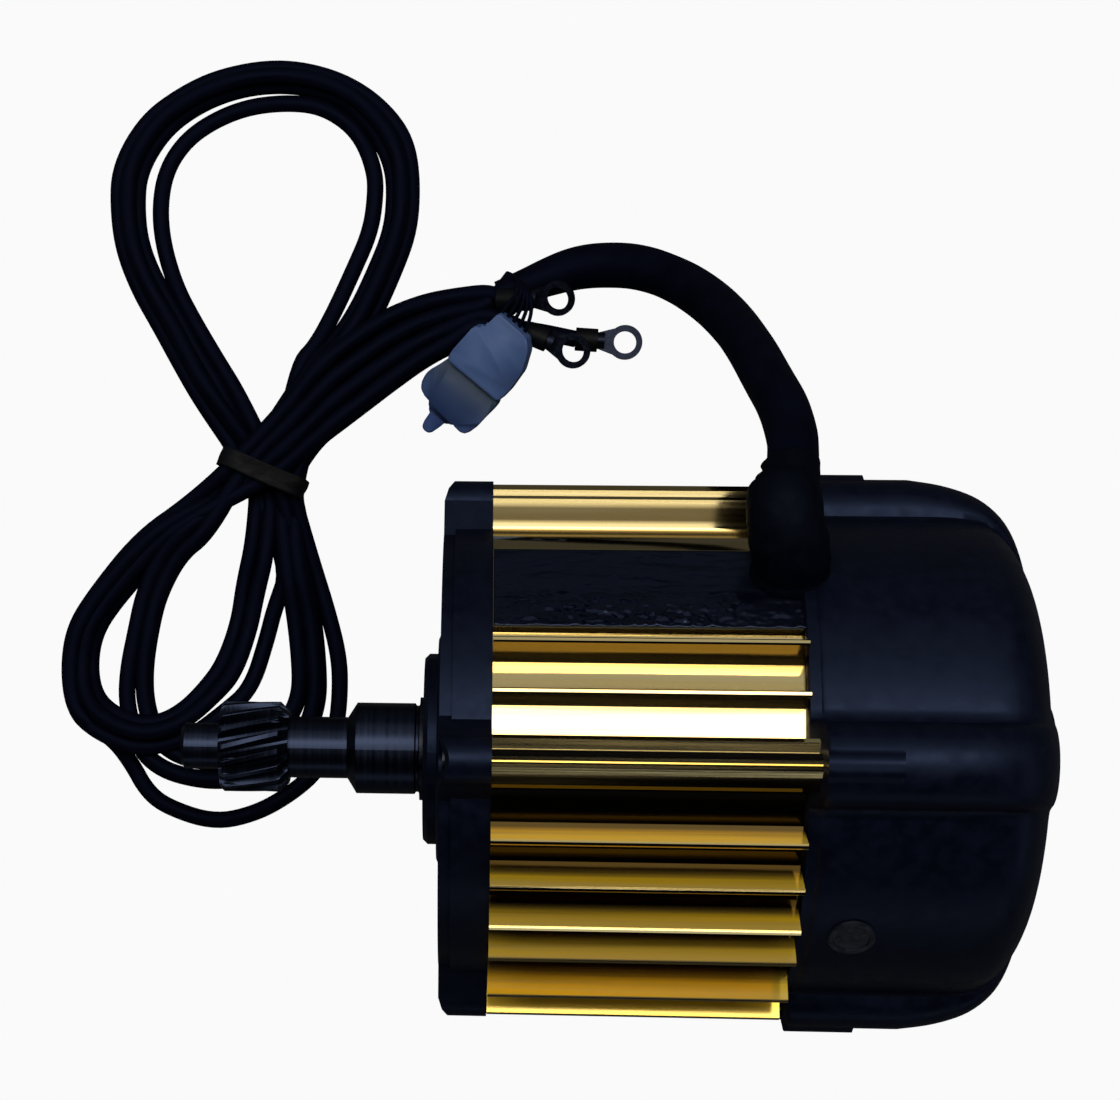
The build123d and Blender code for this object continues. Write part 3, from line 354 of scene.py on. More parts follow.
@dataclass(frozen=True)
class FrameFinish(Finish):
    """Finish of the finned frame: bright metal with painted shade in its low places and a painted
    yellow reflection on its flanks at -Y.
    """

    # Colour and strength of the painted shade; colour of the painted yellow reflection, how much
    # the streaks break it and how much metal it hides.
    painted_shade: Colour = (0.03, 0.016, 0.004)
    painted_shade_share: float = 0.86
    painted_reflection: Colour = (1.0, 0.62, 0.02)
    streak_share: float = 0.55
    painted_reflection_share: float = 0.55

    def add_painted_light(self, tree: NodeTree, colour: Socket, blend: Socket) -> Socket:
        """Lays painted shade and a streaked painted reflection over the colour, and lets the
        painted reflection hide some of the metal.

        Args:
            tree: the material's tree.
            colour: colour of the clean metal.
            blend: texture that streaks the painted reflection.
        Returns:
            The colour with painted shade and a painted reflection.
        """
        group = bpy.data.node_groups[Texture.ZONES.value]
        zones = add_node(tree, "ShaderNodeGroup", node_tree=group).outputs
        # Painted shade: darkens the low places and the -Y side.
        painted_shade = maths(tree, "MULTIPLY", zones["Factor"], self.painted_shade_share)
        painted_shaded = mix_colours(tree, painted_shade, colour, self.painted_shade)
        # Painted yellow reflection on the -Y flanks, broken by streaks, with less metal where it
        # lies.
        streaks = maths(tree, "MULTIPLY_ADD", blend, -self.streak_share, 1.0)
        painted_reflection = maths(tree, "MULTIPLY", zones["Height"], streaks)
        bare = maths(tree, "MULTIPLY_ADD", zones["Height"], -self.painted_reflection_share, 1.0)
        tree.links.new(bare, tree.nodes["Principled BSDF"].inputs["Metallic"])
        return mix_colours(tree, painted_reflection, painted_shaded, self.painted_reflection)


PAINT = Finish(
    "paint", (0.0012, 0.0016, 0.0055), (0.0022, 0.0028, 0.0085), (0.36, 0.5),
    bump=0.08, tint=(0.4, 0.55, 1.0), specular=0.3,
)
# Frame finish: metal with painted shade and a painted yellow reflection laid on by the frame zones.
GOLD = FrameFinish(
    "gold", (0.86, 0.69, 0.33), (0.74, 0.56, 0.22), (0.05, 0.15), Texture.STREAKS, 420.0, 1.0,
    bump=0.04, height=0.0002,
)
FILM = Finish(
    "film", (0.0012, 0.0016, 0.005), (0.003, 0.0035, 0.008), (0.14, 0.3), Texture.CREASES, 110.0,
    bump=0.45, tint=(0.45, 0.6, 1.0),
)
RUBBER = Finish(
    "rubber", (0.0007, 0.0009, 0.0026), (0.0014, 0.0017, 0.0042), (0.5, 0.68),
    bump=0.25, tint=(0.5, 0.65, 1.0), specular=0.08,
)
JACKET = Finish(
    "jacket", (0.0010, 0.0014, 0.0045), (0.0020, 0.0026, 0.0075), (0.5, 0.66),
    scale=120.0, bump=0.1, tint=(0.4, 0.5, 1.0), specular=0.07,
)
TAPE = Finish(
    "tape", (0.0016, 0.0016, 0.0024), (0.003, 0.003, 0.0038), (0.5, 0.7), Texture.CREASES, 300.0,
    bump=0.4, specular=0.12,
)
SLEEVE = Finish(
    "sleeve", (0.0022, 0.0022, 0.003), (0.0035, 0.0034, 0.0045), (0.45, 0.6),
    scale=200.0, bump=0.2, specular=0.12,
)
STEEL = Finish(
    "steel", (0.016, 0.021, 0.038), (0.032, 0.040, 0.066), (0.26, 0.42), Texture.TURNED, 900.0, 1.0,
    bump=0.06, height=0.0001,
)
DARK_STEEL = Finish(
    "dark_steel", (0.018, 0.019, 0.024), (0.045, 0.045, 0.05), (0.3, 0.5),
    scale=500.0, metallic=1.0, bump=0.1,
)
TINNED = Finish(
    "tinned", (0.007, 0.010, 0.021), (0.015, 0.019, 0.034), (0.3, 0.5),
    scale=700.0, metallic=0.8, bump=0.2,
)
NYLON = Finish(
    "nylon", (0.070, 0.122, 0.275), (0.082, 0.138, 0.30), (0.5, 0.65),
    scale=140.0, bump=0.06, subsurface=0.3, specular=0.3,
)
# Painted shade: darker next to the body's step, fading to blue towards the prong.
NOSE = Finish(
    "nose", (0.028, 0.045, 0.062), (0.048, 0.088, 0.24), (0.5, 0.65),
    scale=140.0, bump=0.06, subsurface=0.3, specular=0.3, attribute="along",
)
PLUG = Finish(
    "plug", (0.006, 0.007, 0.012), (0.014, 0.016, 0.024), (0.25, 0.4), scale=500.0, bump=0.2
)
BRONZE = Finish(
    "contacts", (0.35, 0.30, 0.20), (0.5, 0.42, 0.28), (0.2, 0.35),
    scale=600.0, metallic=1.0, bump=0.05,
)
COPPER = Finish(
    "copper", (0.45, 0.17, 0.07), (0.6, 0.25, 0.1), (0.25, 0.4), scale=900.0, metallic=1.0, bump=0.4
)
LAMINATION = Finish(
    "lamination", (0.12, 0.12, 0.13), (0.2, 0.2, 0.2), (0.35, 0.5), Texture.TURNED, 2500.0, 1.0,
    bump=0.4,
)
BOARD = Finish("board", (0.02, 0.09, 0.03), (0.03, 0.12, 0.04), (0.35, 0.5), scale=400.0, bump=0.1)
RESIN = Finish("resin", (0.5, 0.42, 0.25), (0.42, 0.34, 0.2), (0.45, 0.6), scale=500.0, bump=0.1)
BEARING = Finish(
    "bearing", (0.5, 0.5, 0.51), (0.62, 0.62, 0.62), (0.12, 0.22), Texture.TURNED, 1500.0, 1.0,
    bump=0.05,
)
MAGNET = Finish(
    "magnet", (0.25, 0.25, 0.26), (0.33, 0.33, 0.33), (0.3, 0.45),
    scale=400.0, metallic=1.0, bump=0.1,
)


def add_object(name: str, data: bpy.types.ID) -> bpy.types.Object:
    """Makes an object of the data and links it to the scene.

    Args:
        name: name of the object.
        data: its mesh, curve, light or camera.
    Returns:
        The object.
    """
    made = bpy.data.objects.new(name, data)
    bpy.context.scene.collection.objects.link(made)
    return made


@dataclass
class Camera:
    """Camera at the photograph's place: above the motor, turned a little about each axis."""

    place: Point = (7.606, 25.332, 631.404)
    turn: Point = (-0.0352, 0.0593, 0.0127)
    lens: float = 77.90
    sensor: float = 36.0
    shift: Pair = (0.2074, 0.1666)
    nearest: float = 0.01

    def build(self) -> None:
        """Makes the camera and sets it as the scene's."""
        data = bpy.data.cameras.new("camera")
        data.lens = self.lens
        data.shift_x, data.shift_y = self.shift
        data.sensor_width = self.sensor
        data.clip_start = self.nearest
        camera = add_object("camera", data)
        turn = Vector(self.turn)
        camera.rotation_mode = "QUATERNION"
        camera.rotation_quaternion = Quaternion(turn.normalized(), turn.length)
        camera.location = [v * MM for v in self.place]
        bpy.context.scene.camera = camera


@dataclass
class Softbox:
    """Rectangular studio light that looks at the middle of the motor. Places are in metres."""

    name: str
    place: Point
    size: Pair
    power: float
    colour: Colour = (1.0, 1.0, 1.0)
    aim: Point = (0.03, 0.02, 0.0)

    def build(self) -> bpy.types.Object:
        """Makes the light, with the first side of its size along the shaft.

        Returns:
            The light.
        """
        data = bpy.data.lights.new(self.name, "AREA")
        data.shape = "RECTANGLE"
        data.size, data.size_y = self.size
        data.energy = self.power
        data.color = self.colour
        light = add_object(self.name, data)
        away = Vector(self.place) - Vector(self.aim)
        side = Vector((1.0, 0.0, 0.0))
        frame = Matrix((side, away.cross(side).normalized(), away.normalized())).transposed()
        light.matrix_world = Matrix.Translation(self.place) @ frame.to_4x4()
        return light


@dataclass
class Studio:
    """Pale floor that the camera sees as plain white, a dim room and soft lights."""

    floor_size: float = 6.0
    floor_gap: float = 0.05
    floor_grey: float = 0.06
    floor_roughness: float = 0.9
    white: float = 0.955
    room: Colour = (0.0025, 0.003, 0.006)
    lights: tuple[Softbox, ...] = (
        Softbox("key", (0.03, 0.525, 1.52), (2.6, 0.55), 17.0),
        Softbox("crown", (0.03, 0.11, 1.5), (2.6, 0.16), 1.7),
        Softbox("slope", (0.03, 1.25, 1.05), (2.6, 1.0), 3.4, (0.96, 0.98, 1.0)),
        Softbox("front", (-1.5, 0.5, 0.55), (0.9, 1.4), 2.0, (0.8, 0.88, 1.0)),
        Softbox("rear", (1.6, -0.1, 0.45), (0.8, 2.2), 2.4, (0.7, 0.82, 1.0)),
        Softbox("sill", (0.03, 1.5, 0.06), (2.6, 0.26), 0.35, (0.8, 0.9, 1.0)),
        Softbox("low", (0.2, -1.5, 0.35), (2.2, 0.28), 1.3, (0.85, 0.92, 1.0)),
    )

    def floor_material(self) -> bpy.types.Material:
        """White to the camera, plain grey to everything else.

        Returns:
            The floor's material.
        """
        material = bpy.data.materials.new("studio_floor")
        material.use_nodes = True
        tree = material.node_tree
        shader = tree.nodes["Principled BSDF"]
        shader.inputs["Base Color"].default_value = (*[self.floor_grey] * 3, 1.0)
        shader.inputs["Roughness"].default_value = self.floor_roughness
        glow = add_node(tree, "ShaderNodeEmission", {"Color": (*[self.white] * 3, 1.0)}).outputs[0]
        seen = add_node(tree, "ShaderNodeLightPath").outputs["Is Camera Ray"]
        mix = add_node(tree, "ShaderNodeMixShader", {0: seen, 1: shader.outputs[0], 2: glow})
        tree.links.new(mix.outputs[0], tree.nodes["Material Output"].inputs["Surface"])
        return material

    def build(self) -> None:
        """Makes the floor, the room and the lights."""
        half = self.floor_size / 2
        low = (FLOOR - self.floor_gap) * MM
        corners = [(-half, -half, low), (half, -half, low), (half, half, low), (-half, half, low)]
        mesh = bpy.data.meshes.new("floor")
        mesh.from_pydata(corners, [], [(0, 1, 2, 3)])
        mesh.materials.append(self.floor_material())
        floor = add_object("floor", mesh)
        world = bpy.data.worlds.new("room")
        world.use_nodes = True
        world.node_tree.nodes["Background"].inputs["Color"].default_value = (*self.room, 1.0)
        bpy.context.scene.world = world
        for light in self.lights:
            light.build()


@dataclass(frozen=True)
class Tube:
    """An open round cord on a quadratic NURBS curve. Sizes are in millimetres."""

    name: str
    points: Sequence[Point]
    radius: float
    swell: Sequence[float] = ()
    facets: int = 5
    steps: int = 6

    def build(self) -> bpy.types.Object:
        """Makes the tube as a curve object; swell scales its radius at each point.

        Returns:
            The curve object.
        """
        data = bpy.data.curves.new(self.name, "CURVE")
        data.dimensions = "3D"
        data.bevel_depth = self.radius * MM
        data.bevel_resolution = self.facets
        data.resolution_u = self.steps
        data.use_fill_caps = True
        spline = data.splines.new("NURBS")
        spline.points.add(len(self.points) - 1)
        swell = self.swell or [1.0] * len(self.points)
        for knot, point, radius in zip(spline.points, self.points, swell):
            knot.co = (*[v * MM for v in point], 1.0)
            knot.radius = radius
        spline.order_u = 3
        spline.use_endpoint_u = True
        return add_object(self.name, data)


def held_out(points: Sequence[Point]) -> list[Point]:
    """Moves inner control points outward, so that the quadratic spline goes through the places.

    Args:
        points: places that the spline goes through, in millimetres.
    Returns:
        The control points.
    """
    places = [Vector(p) for p in points]
    moved = [b + (2 * b - a - c) / 8 for a, b, c in zip(places, places[1:], places[2:])]
    return [tuple(p) for p in (places[0], *moved, places[-1])]


def curve_length(points: Sequence[Point], steps: int = 8) -> float:
    """Length of the quadratic spline over control points.

    Args:
        points: control points, in millimetres.
        steps: straight pieces that each stretch is measured by.
    Returns:
        The length in millimetres.
    """
    held = [Vector(p) for p in (points[0], *points, points[-1])]
    length, last = 0.0, held[0]
    for a, b, c in zip(held, held[1:], held[2:]):
        for step in range(1, steps + 1):
            t = step / steps
            now = 0.5 * (1 - t) ** 2 * a + (0.5 + t - t * t) * b + 0.5 * t * t * c
            length += (now - last).length
            last = now
    return length


@dataclass(frozen=True)
class Band:
    """A run of leads side by side: its two edges on the floor and its lift at each station."""

    outer: tuple[Pair, ...]
    inner: tuple[Pair, ...]
    lift: tuple[float, ...]

    def lane(
        self, start: float, height: float, end: float | None = None, rise: float = 0.0
    ) -> list[Point]:
        """Points of one lead in the run.

        Args:
            start: place between the outer edge (0) and the inner edge (1) at the first station.
            height: height of its middle above the floor.
            end: place at the last station; the same as start where None.
            rise: how much the height changes along the run.
        Returns:
            Points in millimetres.
        """
        last = len(self.outer) - 1
        finish = start if end is None else end
        lane = []
        for index, (out, into, lift) in enumerate(zip(self.outer, self.inner, self.lift)):
            share = index / last
            across = start + (finish - start) * share
            x, y = (o + (i - o) * across for o, i in zip(out, into))
            lane.append((x, y, FLOOR + height + rise * share + lift))
        return lane


FIRST_LOOP = Band(
    ((-75.6, 68.5), (-89.9, 57.8), (-102.7, 41.9), (-109.1, 31.0), (-110.8, 19.1), (-108.7, 7.8),
     (-103.3, 1.9), (-93.8, -2.9), (-84.9, -4.3), (-73.0, -1.1), (-63.2, 5.9), (-55.3, 13.4),
     (-51.0, 26.7), (-48.5, 36.6), (-45.9, 50.3)),
    ((-70.1, 59.4), (-82.4, 50.0), (-94.7, 36.6), (-99.6, 28.1), (-100.8, 19.2), (-98.5, 12.4),
     (-93.4, 8.0), (-87.0, 6.1), (-80.5, 6.7), (-75.1, 10.7), (-70.2, 16.7), (-66.3, 23.6),
     (-62.5, 34.5), (-60.8, 46.3), (-58.3, 59.1)),
    (3, 1, 0, 0, 0, 3, 6, 8, 8, 6, 4, 2, 0, 0, 1),
)
SECOND_LOOP = Band(
    ((-72.6, 63.8), (-82.4, 54.9), (-88.8, 42.1), (-91.6, 29.2), (-93.7, 19.3), (-94.1, 8.5),
     (-90.3, -4.3), (-83.8, -10.7), (-74.9, -13.7), (-64.9, -14.6), (-55.0, -12.9), (-46.2, -8.7),
     (-39.4, -1.7), (-35.5, 9.2), (-35.4, 21.0), (-37.3, 36.7), (-41.4, 52.3)),
    ((-67.6, 58.5), (-75.0, 51.5), (-80.8, 41.2), (-83.4, 31.8), (-84.8, 19.4), (-83.8, 8.6),
     (-80.0, 0.2), (-75.0, -3.3), (-70.0, -4.7), (-65.0, -5.0), (-57.1, -3.1), (-51.2, 1.6),
     (-46.4, 9.1), (-44.3, 15.0), (-44.4, 22.9), (-45.7, 34.6), (-47.8, 50.3)),
    (3, 1, 0, 0, 0, 0, 0, 0, 0, 0, 0, 0, 0, 0, 0, 0, 1),
)
OUTER_LEAD = (
    (-73.3, 65.4), (-88.0, 54.9), (-100.3, 40.5), (-106.4, 30.1), (-108.3, 19.1), (-107.1, 9.3),
    (-102.5, 3.4), (-96.0, -1.5), (-91.0, -8.4), (-86.4, -15.7), (-79.9, -20.6), (-66.9, -24.4),
    (-55.0, -22.0), (-45.2, -16.6), (-36.9, -9.1), (-32.1, 1.4), (-30.7, 11.2), (-31.0, 23.0),
    (-34.4, 36.7), (-39.0, 51.4),
)
OUTER_LIFT = (6, 6, 5, 5, 5, 6, 6, 3, 0, 0, 0, 0, 0, 0, 0, 0, 0, 0, 0, 0)
TOP_LOOP = Band(
    ((-72.0, 95.1), (-79.0, 106.8), (-85.0, 117.5), (-91.0, 128.2), (-95.6, 139.9), (-97.4, 151.6),
     (-96.8, 164.3), (-89.5, 177.4), (-78.7, 185.6), (-67.0, 190.9), (-51.4, 193.5),
     (-37.6, 191.5), (-25.9, 186.5), (-17.0, 179.2), (-12.1, 171.0), (-10.4, 159.4),
     (-11.2, 145.9), (-15.5, 133.3), (-21.2, 120.6), (-28.9, 109.9), (-36.6, 102.1)),
    ((-64.1, 101.0), (-70.6, 111.7), (-77.2, 123.4), (-83.2, 133.1), (-87.2, 142.8),
     (-88.3, 152.6), (-87.2, 162.3), (-81.6, 172.0), (-73.8, 178.8), (-63.0, 183.6),
     (-51.3, 185.4), (-38.5, 184.1), (-29.7, 179.2), (-23.3, 171.0), (-19.7, 163.3),
     (-18.7, 156.5), (-19.7, 145.9), (-24.3, 134.2), (-29.5, 123.5), (-35.3, 114.8),
     (-42.1, 106.9)),
    (1, 0, 0, 0, 0, 0, 0, 0, 0, 0, 0, 0, 0, 0, 0, 0, 0, 0, 0, 0, 1),
)
TOP_INNER = (
    (-60.2, 97.2), (-67.3, 108.9), (-74.3, 120.6), (-79.3, 130.3), (-82.9, 142.0), (-83.9, 152.8),
    (-82.1, 163.0), (-76.8, 171.3), (-68.9, 177.1), (-59.1, 181.0), (-48.4, 182.3), (-38.6, 181.3),
    (-30.7, 177.0), (-25.7, 171.2), (-22.7, 163.5), (-22.1, 156.7), (-23.5, 146.0), (-28.2, 134.4),
    (-33.5, 122.7), (-38.8, 112.9), (-44.1, 105.1),
)
ARM = Band(
    ((11.8, 128.8), (2.1, 128.3), (-7.6, 126.6), (-18.2, 122.4), (-27.9, 115.8), (-37.6, 107.8),
     (-44.8, 98.5)),
    ((11.0, 117.7), (1.4, 112.3), (-7.3, 107.0), (-16.0, 100.1), (-23.7, 93.8), (-30.5, 88.4),
     (-37.3, 83.0)),
    (0, 0, 1, 3, 5, 6, 5),
)
WAIST = ((-63.7, 80.6), (-42.5, 71.6))


@dataclass(frozen=True)
class Lead:
    """One lead through the hank.

    arm_out and arm_in are its places in the arm, and the three runs are its points in the loops.
    waist lists its place and height at each of its four passes under the tie.
    """

    name: str
    arm_out: float
    arm_in: float
    second: Sequence[Point]
    top: Sequence[Point]
    first: Sequence[Point]
    waist: tuple[Pair, ...]
    end: Point
    fitted: tuple[str, ...]
    far_end: str = "fitting"


def single(run: Sequence[Pair], height: float, lift: Sequence[float] = ()) -> list[Point]:
    """Points of a lead that runs alone.

    Args:
        run: places on the floor.
        height: height of its middle above the floor.
        lift: extra height at each place; none where empty.
    Returns:
        Points in millimetres.
    """
    return [(x, y, FLOOR + height + up) for (x, y), up in zip(run, lift or [0.0] * len(run))]


@dataclass
class Hank:
    """The four leads: out of the trunk, folded in a figure of eight and on to their terminals."""

    radius: float = 2.4
    trunk_end: Point = (26.6, 132.5, -65.0)
    low: float = 2.4
    middle: float = 6.6
    high: float = 7.0
    arm_return: float = 7.2

    def leads(self) -> list[Lead]:
        """The leads and their places in each run.

        Returns:
            The four leads.
        """
        first, second, top = FIRST_LOOP, SECOND_LOOP, TOP_LOOP
        low, high = self.low, self.high
        return [
            Lead(
                "lead_a", 0.30, 0.10,
                second.lane(0.17, low), top.lane(0.15, low), first.lane(0.15, low, 0.10),
                ((0.74, 6.8), (0.12, 6.2), (0.20, 2.4), (0.15, 10.4)), (14.0, 125.5, -63.4),
                ("ring_terminal_a", "terminal_sleeve_a"),
            ),
            Lead(
                "lead_b", 0.55, 0.62,
                second.lane(0.75, low), top.lane(0.75, low), first.lane(0.75, low, 0.83),
                ((0.84, 2.6), (0.27, 6.2), (0.36, 2.4), (0.45, 10.4)), (22.2, 116.2, -62.7),
                ("ring_terminal_b", "terminal_sleeve_b"),
            ),
            Lead(
                "lead_c", 0.75, 0.86,
                second.lane(0.25, high), top.lane(0.5, self.middle),
                first.lane(0.6, 6.8, 0.5, -1.8),
                ((0.94, 2.6), (0.42, 6.2), (0.52, 2.4), (0.62, 10.4)), (35.9, 115.2, -68.7),
                ("ring_terminal_c", "terminal_sleeve_c"),
            ),
            Lead(
                "lead_hall", 0.90, 0.36,
                single(OUTER_LEAD, low, OUTER_LIFT), single(TOP_INNER, low),
                second.lane(0.75, high),
                ((0.92, 7.0), (0.57, 6.2), (0.66, 2.4), (0.30, 10.4)), (17.7, 132.6, -66.35),
                ("connector_body", "connector_nose", "connector_contacts", "hall_wires"),
                "connector",
            ),
        ]

    @staticmethod
    def at_waist(place: float, height: float) -> Point:
        """Point under the tie, from one end of the tie (0) to the other (1)."""
        x, y = (a + (b - a) * place for a, b in zip(*WAIST))
        return (x, y, FLOOR + height)

    def route(self, lead: Lead) -> list[Point]:
        """All control points of a lead, from the trunk to its terminal.

        Args:
            lead: the lead.
        Returns:
            Points in millimetres.
        """
        runs = (
            ARM.lane(lead.arm_out, self.low),
            lead.second[::-1],
            lead.top[::-1],
            lead.first[::-1],
            ARM.lane(lead.arm_in, self.arm_return)[::-1],
        )
        points = [self.trunk_end, *runs[0]]
        for place, run in zip(lead.waist, runs[1:]):
            points += [self.at_waist(*place), *run]
        return [*points, lead.end]

    def build(self) -> None:
        for lead in self.leads():
            points = held_out(self.route(lead))
            piece = Tube(lead.name, points, self.radius).build()
            JACKET.dress(piece)
            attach(piece, "housing")
            length = curve_length(points)
            log.info("%s is %.0f mm long", lead.name, length)
        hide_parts("lead_hank", "phase_lead_a", "phase_lead_b", "phase_lead_c")


@dataclass
class Trunk:
    """Sheathed cable from the boot down to the floor, narrowing over the start of the leads."""

    radius: float = 6.3
    points: tuple[Point, ...] = (
        (84.0, 69.95, 40.07), (84.7, 75.4, 36.9), (84.5, 80.6, 31.5), (83.4, 87.4, 24.0),
        (81.2, 94.4, 13.0), (78.5, 104.5, -3.0), (75.1, 113.7, -20.0), (69.9, 121.9, -34.5),
        (62.6, 129.0, -47.0), (52.7, 134.0, -56.0), (42.5, 135.2, -61.5), (35.0, 134.6, -64.0),
        (28.0, 132.3, -64.6), (21.0, 129.7, -65.2), (13.5, 127.4, -65.6),
    )
    narrowing: tuple[float, ...] = (0.96, 0.87, 0.74, 0.58)

    def build(self) -> None:
        swell = [1.0] * (len(self.points) - len(self.narrowing)) + list(self.narrowing)
        piece = Tube("trunk", self.points, self.radius, swell).build()
        JACKET.dress(piece)
        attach(piece, "housing")
        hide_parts("trunk_cable")
        curve_length(self.points) * MM


@dataclass
class HallWires:
    """Thin wires from the end of the hall lead's jacket, over a sleeve, to the connector."""

    count: int = 5
    radius: float = 0.55
    across: Point = (0.771, -0.637, 0.0)
    route: tuple[Point, ...] = (
        (17.7, 132.6, -66.35), (20.9, 129.1, -55.4), (20.6, 121.3, -56.0), (15.1, 114.7, -58.1),
    )
    pitches: tuple[float, ...] = (0.4, 0.7, 1.92, 2.4)
    stagger: float = 0.5

    def build(self) -> None:
        """Makes the wires as one mesh."""
        made = []
        for index in range(self.count):
            side = Vector(self.across) * (index - (self.count - 1) / 2)
            points = [Vector(p) + side * pitch for p, pitch in zip(self.route, self.pitches)]
            points[1].z += self.stagger * (index % 2)
            made.append(Tube(f"wire_{index}", [tuple(p) for p in points], self.radius).build())
        piece = as_mesh("hall_wires", made)
        JACKET.dress(piece)
        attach(piece, "housing")
        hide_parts("hall_cores")


def as_mesh(name: str, sources: Sequence[bpy.types.Object]) -> bpy.types.Object:
    """Turns objects into one mesh at the origin and removes them.

    Args:
        name: name of the new object.
        sources: curves or meshes, with their modifiers.
    Returns:
        The new mesh object.
    """
    bpy.context.view_layer.update()
    depsgraph = bpy.context.evaluated_depsgraph_get()
    shape = bmesh.new()
    for source in sources:
        mesh = bpy.data.meshes.new_from_object(source.evaluated_get(depsgraph), depsgraph=depsgraph)
        mesh.transform(source.matrix_world)
        shape.from_mesh(mesh)
        bpy.data.meshes.remove(mesh)
    for source in sources:
        bpy.data.objects.remove(source)
    return from_bmesh(name, shape)


def from_bmesh(name: str, shape: bmesh.types.BMesh) -> bpy.types.Object:
    """Makes a smooth object of a bmesh, with its normals outward.

    Args:
        name: name of the object and its mesh.
        shape: the shape, which is freed.
    Returns:
        The new mesh object.
    """
    bmesh.ops.recalc_face_normals(shape, faces=shape.faces)
    for face in shape.faces:
        face.smooth = True
    mesh = bpy.data.meshes.new(name)
    shape.to_mesh(mesh)
    shape.free()
    return add_object(name, mesh)


def loft(shape: bmesh.types.BMesh, rings: Sequence[Ring], capped: bool = True) -> None:
    """Joins each ring of corners to the next.

    Args:
        shape: shape that the corners are in.
        rings: closed rings with as many corners each.
        capped: whether one face closes each end.
    """
    around = range(len(rings[0]))
    for a, b in zip(rings, rings[1:]):
        for i in around:
            j = (i + 1) % len(around)
            shape.faces.new((a[i], a[j], b[j], b[i]))
    if capped:
        shape.faces.new(rings[0][::-1])
        shape.faces.new(rings[-1])


@dataclass(frozen=True)
class Ripple:
    """A layer of noise over the film: its waves to a millimetre each way, and how it is made."""

    along: float
    across: float
    level: float
    falloff: float
    gap: float
    octaves: int

    def at(self, x: float, y: float) -> float:
        """Value of the layer at a place on the film."""
        place = Vector((x * self.along, y * self.across, self.level))
        return noise.fractal(place, self.falloff, self.gap, self.octaves)


@dataclass
class LandFilm:
    """Creased glossy film over the flat land of the frame, under the boot's foot.

    Its folds run the whole length. The edge towards the crown is crumpled, and pitted round the
    worn middle.
    """

    start: float = 12.55
    end: float = 88.9
    half: float = 13.35
    distance: float = 58.22
    thickness: float = 0.3
    thinnest: float = 0.05
    columns: int = 152
    rows: int = 54
    crumpled: Pair = (1.0, 7.0)
    worn: Pair = (50.0, 22.0)
    folds: Ripple = Ripple(0.035, 0.16, 3.1, 0.9, 2.1, 5)
    crumples: Ripple = Ripple(0.35, 0.5, 7.7, 0.8, 2.1, 4)
    pits: Ripple = Ripple(0.8, 1.1, 2.2, 0.7, 2.0, 3)
    fold_height: float = 0.12
    ridge_height: float = 0.24
    ridge_sharpness: float = 9.0
    ridge_share: Pair = (0.2, 0.8)
    crumple_height: float = 0.5
    pit_height: float = 0.9
    pit_threshold: float = 0.12

    def crease(self, x: float, y: float) -> float:
        """Height of the creases at a place on the film, in millimetres.

        Args:
            x: place along the shaft.
            y: place across the land, which rises towards the crown.
        Returns:
            The height, which is below zero in a dip.
        """
        folds = self.folds.at(x, y)
        ridge = max(0.0, 1.0 - abs(folds) * self.ridge_sharpness)
        rough = max(0.0, min(1.0, (y - self.crumpled[0]) / self.crumpled[1]))
        worn = math.exp(-(((x - self.worn[0]) / self.worn[1]) ** 2))
        crumple = self.crumples.at(x, y) * rough
        pits = max(0.0, self.pits.at(x, y) - self.pit_threshold) * rough * worn
        least, gain = self.ridge_share
        height = self.fold_height * folds + self.ridge_height * ridge * (least + gain * rough)
        return height + self.crumple_height * crumple + self.pit_height * pits

    def corner(
        self, shape: bmesh.types.BMesh, column: int, row: int, top: bool
    ) -> bmesh.types.BMVert:
        """Makes the corner of a cell.

        Args:
            shape: shape to add to.
            column: number of the corner along the shaft.
            row: number of the corner across the land.
            top: whether it lies on the creased top or on the flat base.
        Returns:
            The new corner.
        """
        x = self.start + column * (self.end - self.start) / self.columns
        y = -self.half + row * 2 * self.half / self.rows
        inside = 0 < column < self.columns and 0 < row < self.rows
        rise = self.thickness + (self.crease(x, y) if inside else 0.0)
        height = self.distance + (max(self.thinnest, rise) if top else 0.0)
        return shape.verts.new((Vector((x, 0, 0)) + LAND_ACROSS * y + LAND_UP * height) * MM)

    def build(self) -> None:
        """Makes the film: a creased top on a flat base, closed along every edge."""
        shape = bmesh.new()
        columns, rows = self.columns, self.rows
        places = [(i, j) for i in range(columns + 1) for j in range(rows + 1)]
        top = {place: self.corner(shape, *place, True) for place in places}
        base = {place: self.corner(shape, *place, False) for place in places}
        for layer in (top, base):
            for i in range(columns):
                for j in range(rows):
                    cell = ((i, j), (i + 1, j), (i + 1, j + 1), (i, j + 1))
                    shape.faces.new([layer[place] for place in cell])
        rim = [(i, 0) for i in range(columns)] + [(columns, j) for j in range(rows)]
        rim += [(i, rows) for i in range(columns, 0, -1)] + [(0, j) for j in range(rows, 0, -1)]
        loft(shape, ([top[place] for place in rim], [base[place] for place in rim]), capped=False)
        piece = from_bmesh("film", shape)
        FILM.dress(piece)
        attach(piece, "housing")
        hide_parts("label_film")


def eased(table: Sequence[tuple[float, ...]], at: float) -> list[float]:
    """Reads a table of stations with a smooth step between neighbours.

    Args:
        table: rows of a place and the values there, in rising order.
        at: the place wanted.
    Returns:
        The values at that place.
    """
    for low, high in zip(table, table[1:]):
        if at <= high[0]:
            t = max(0.0, (at - low[0]) / (high[0] - low[0]))
            t = t * t * (3.0 - 2.0 * t)
            return [a + (b - a) * t for a, b in zip(low[1:], high[1:])]
    return list(table[-1][1:])


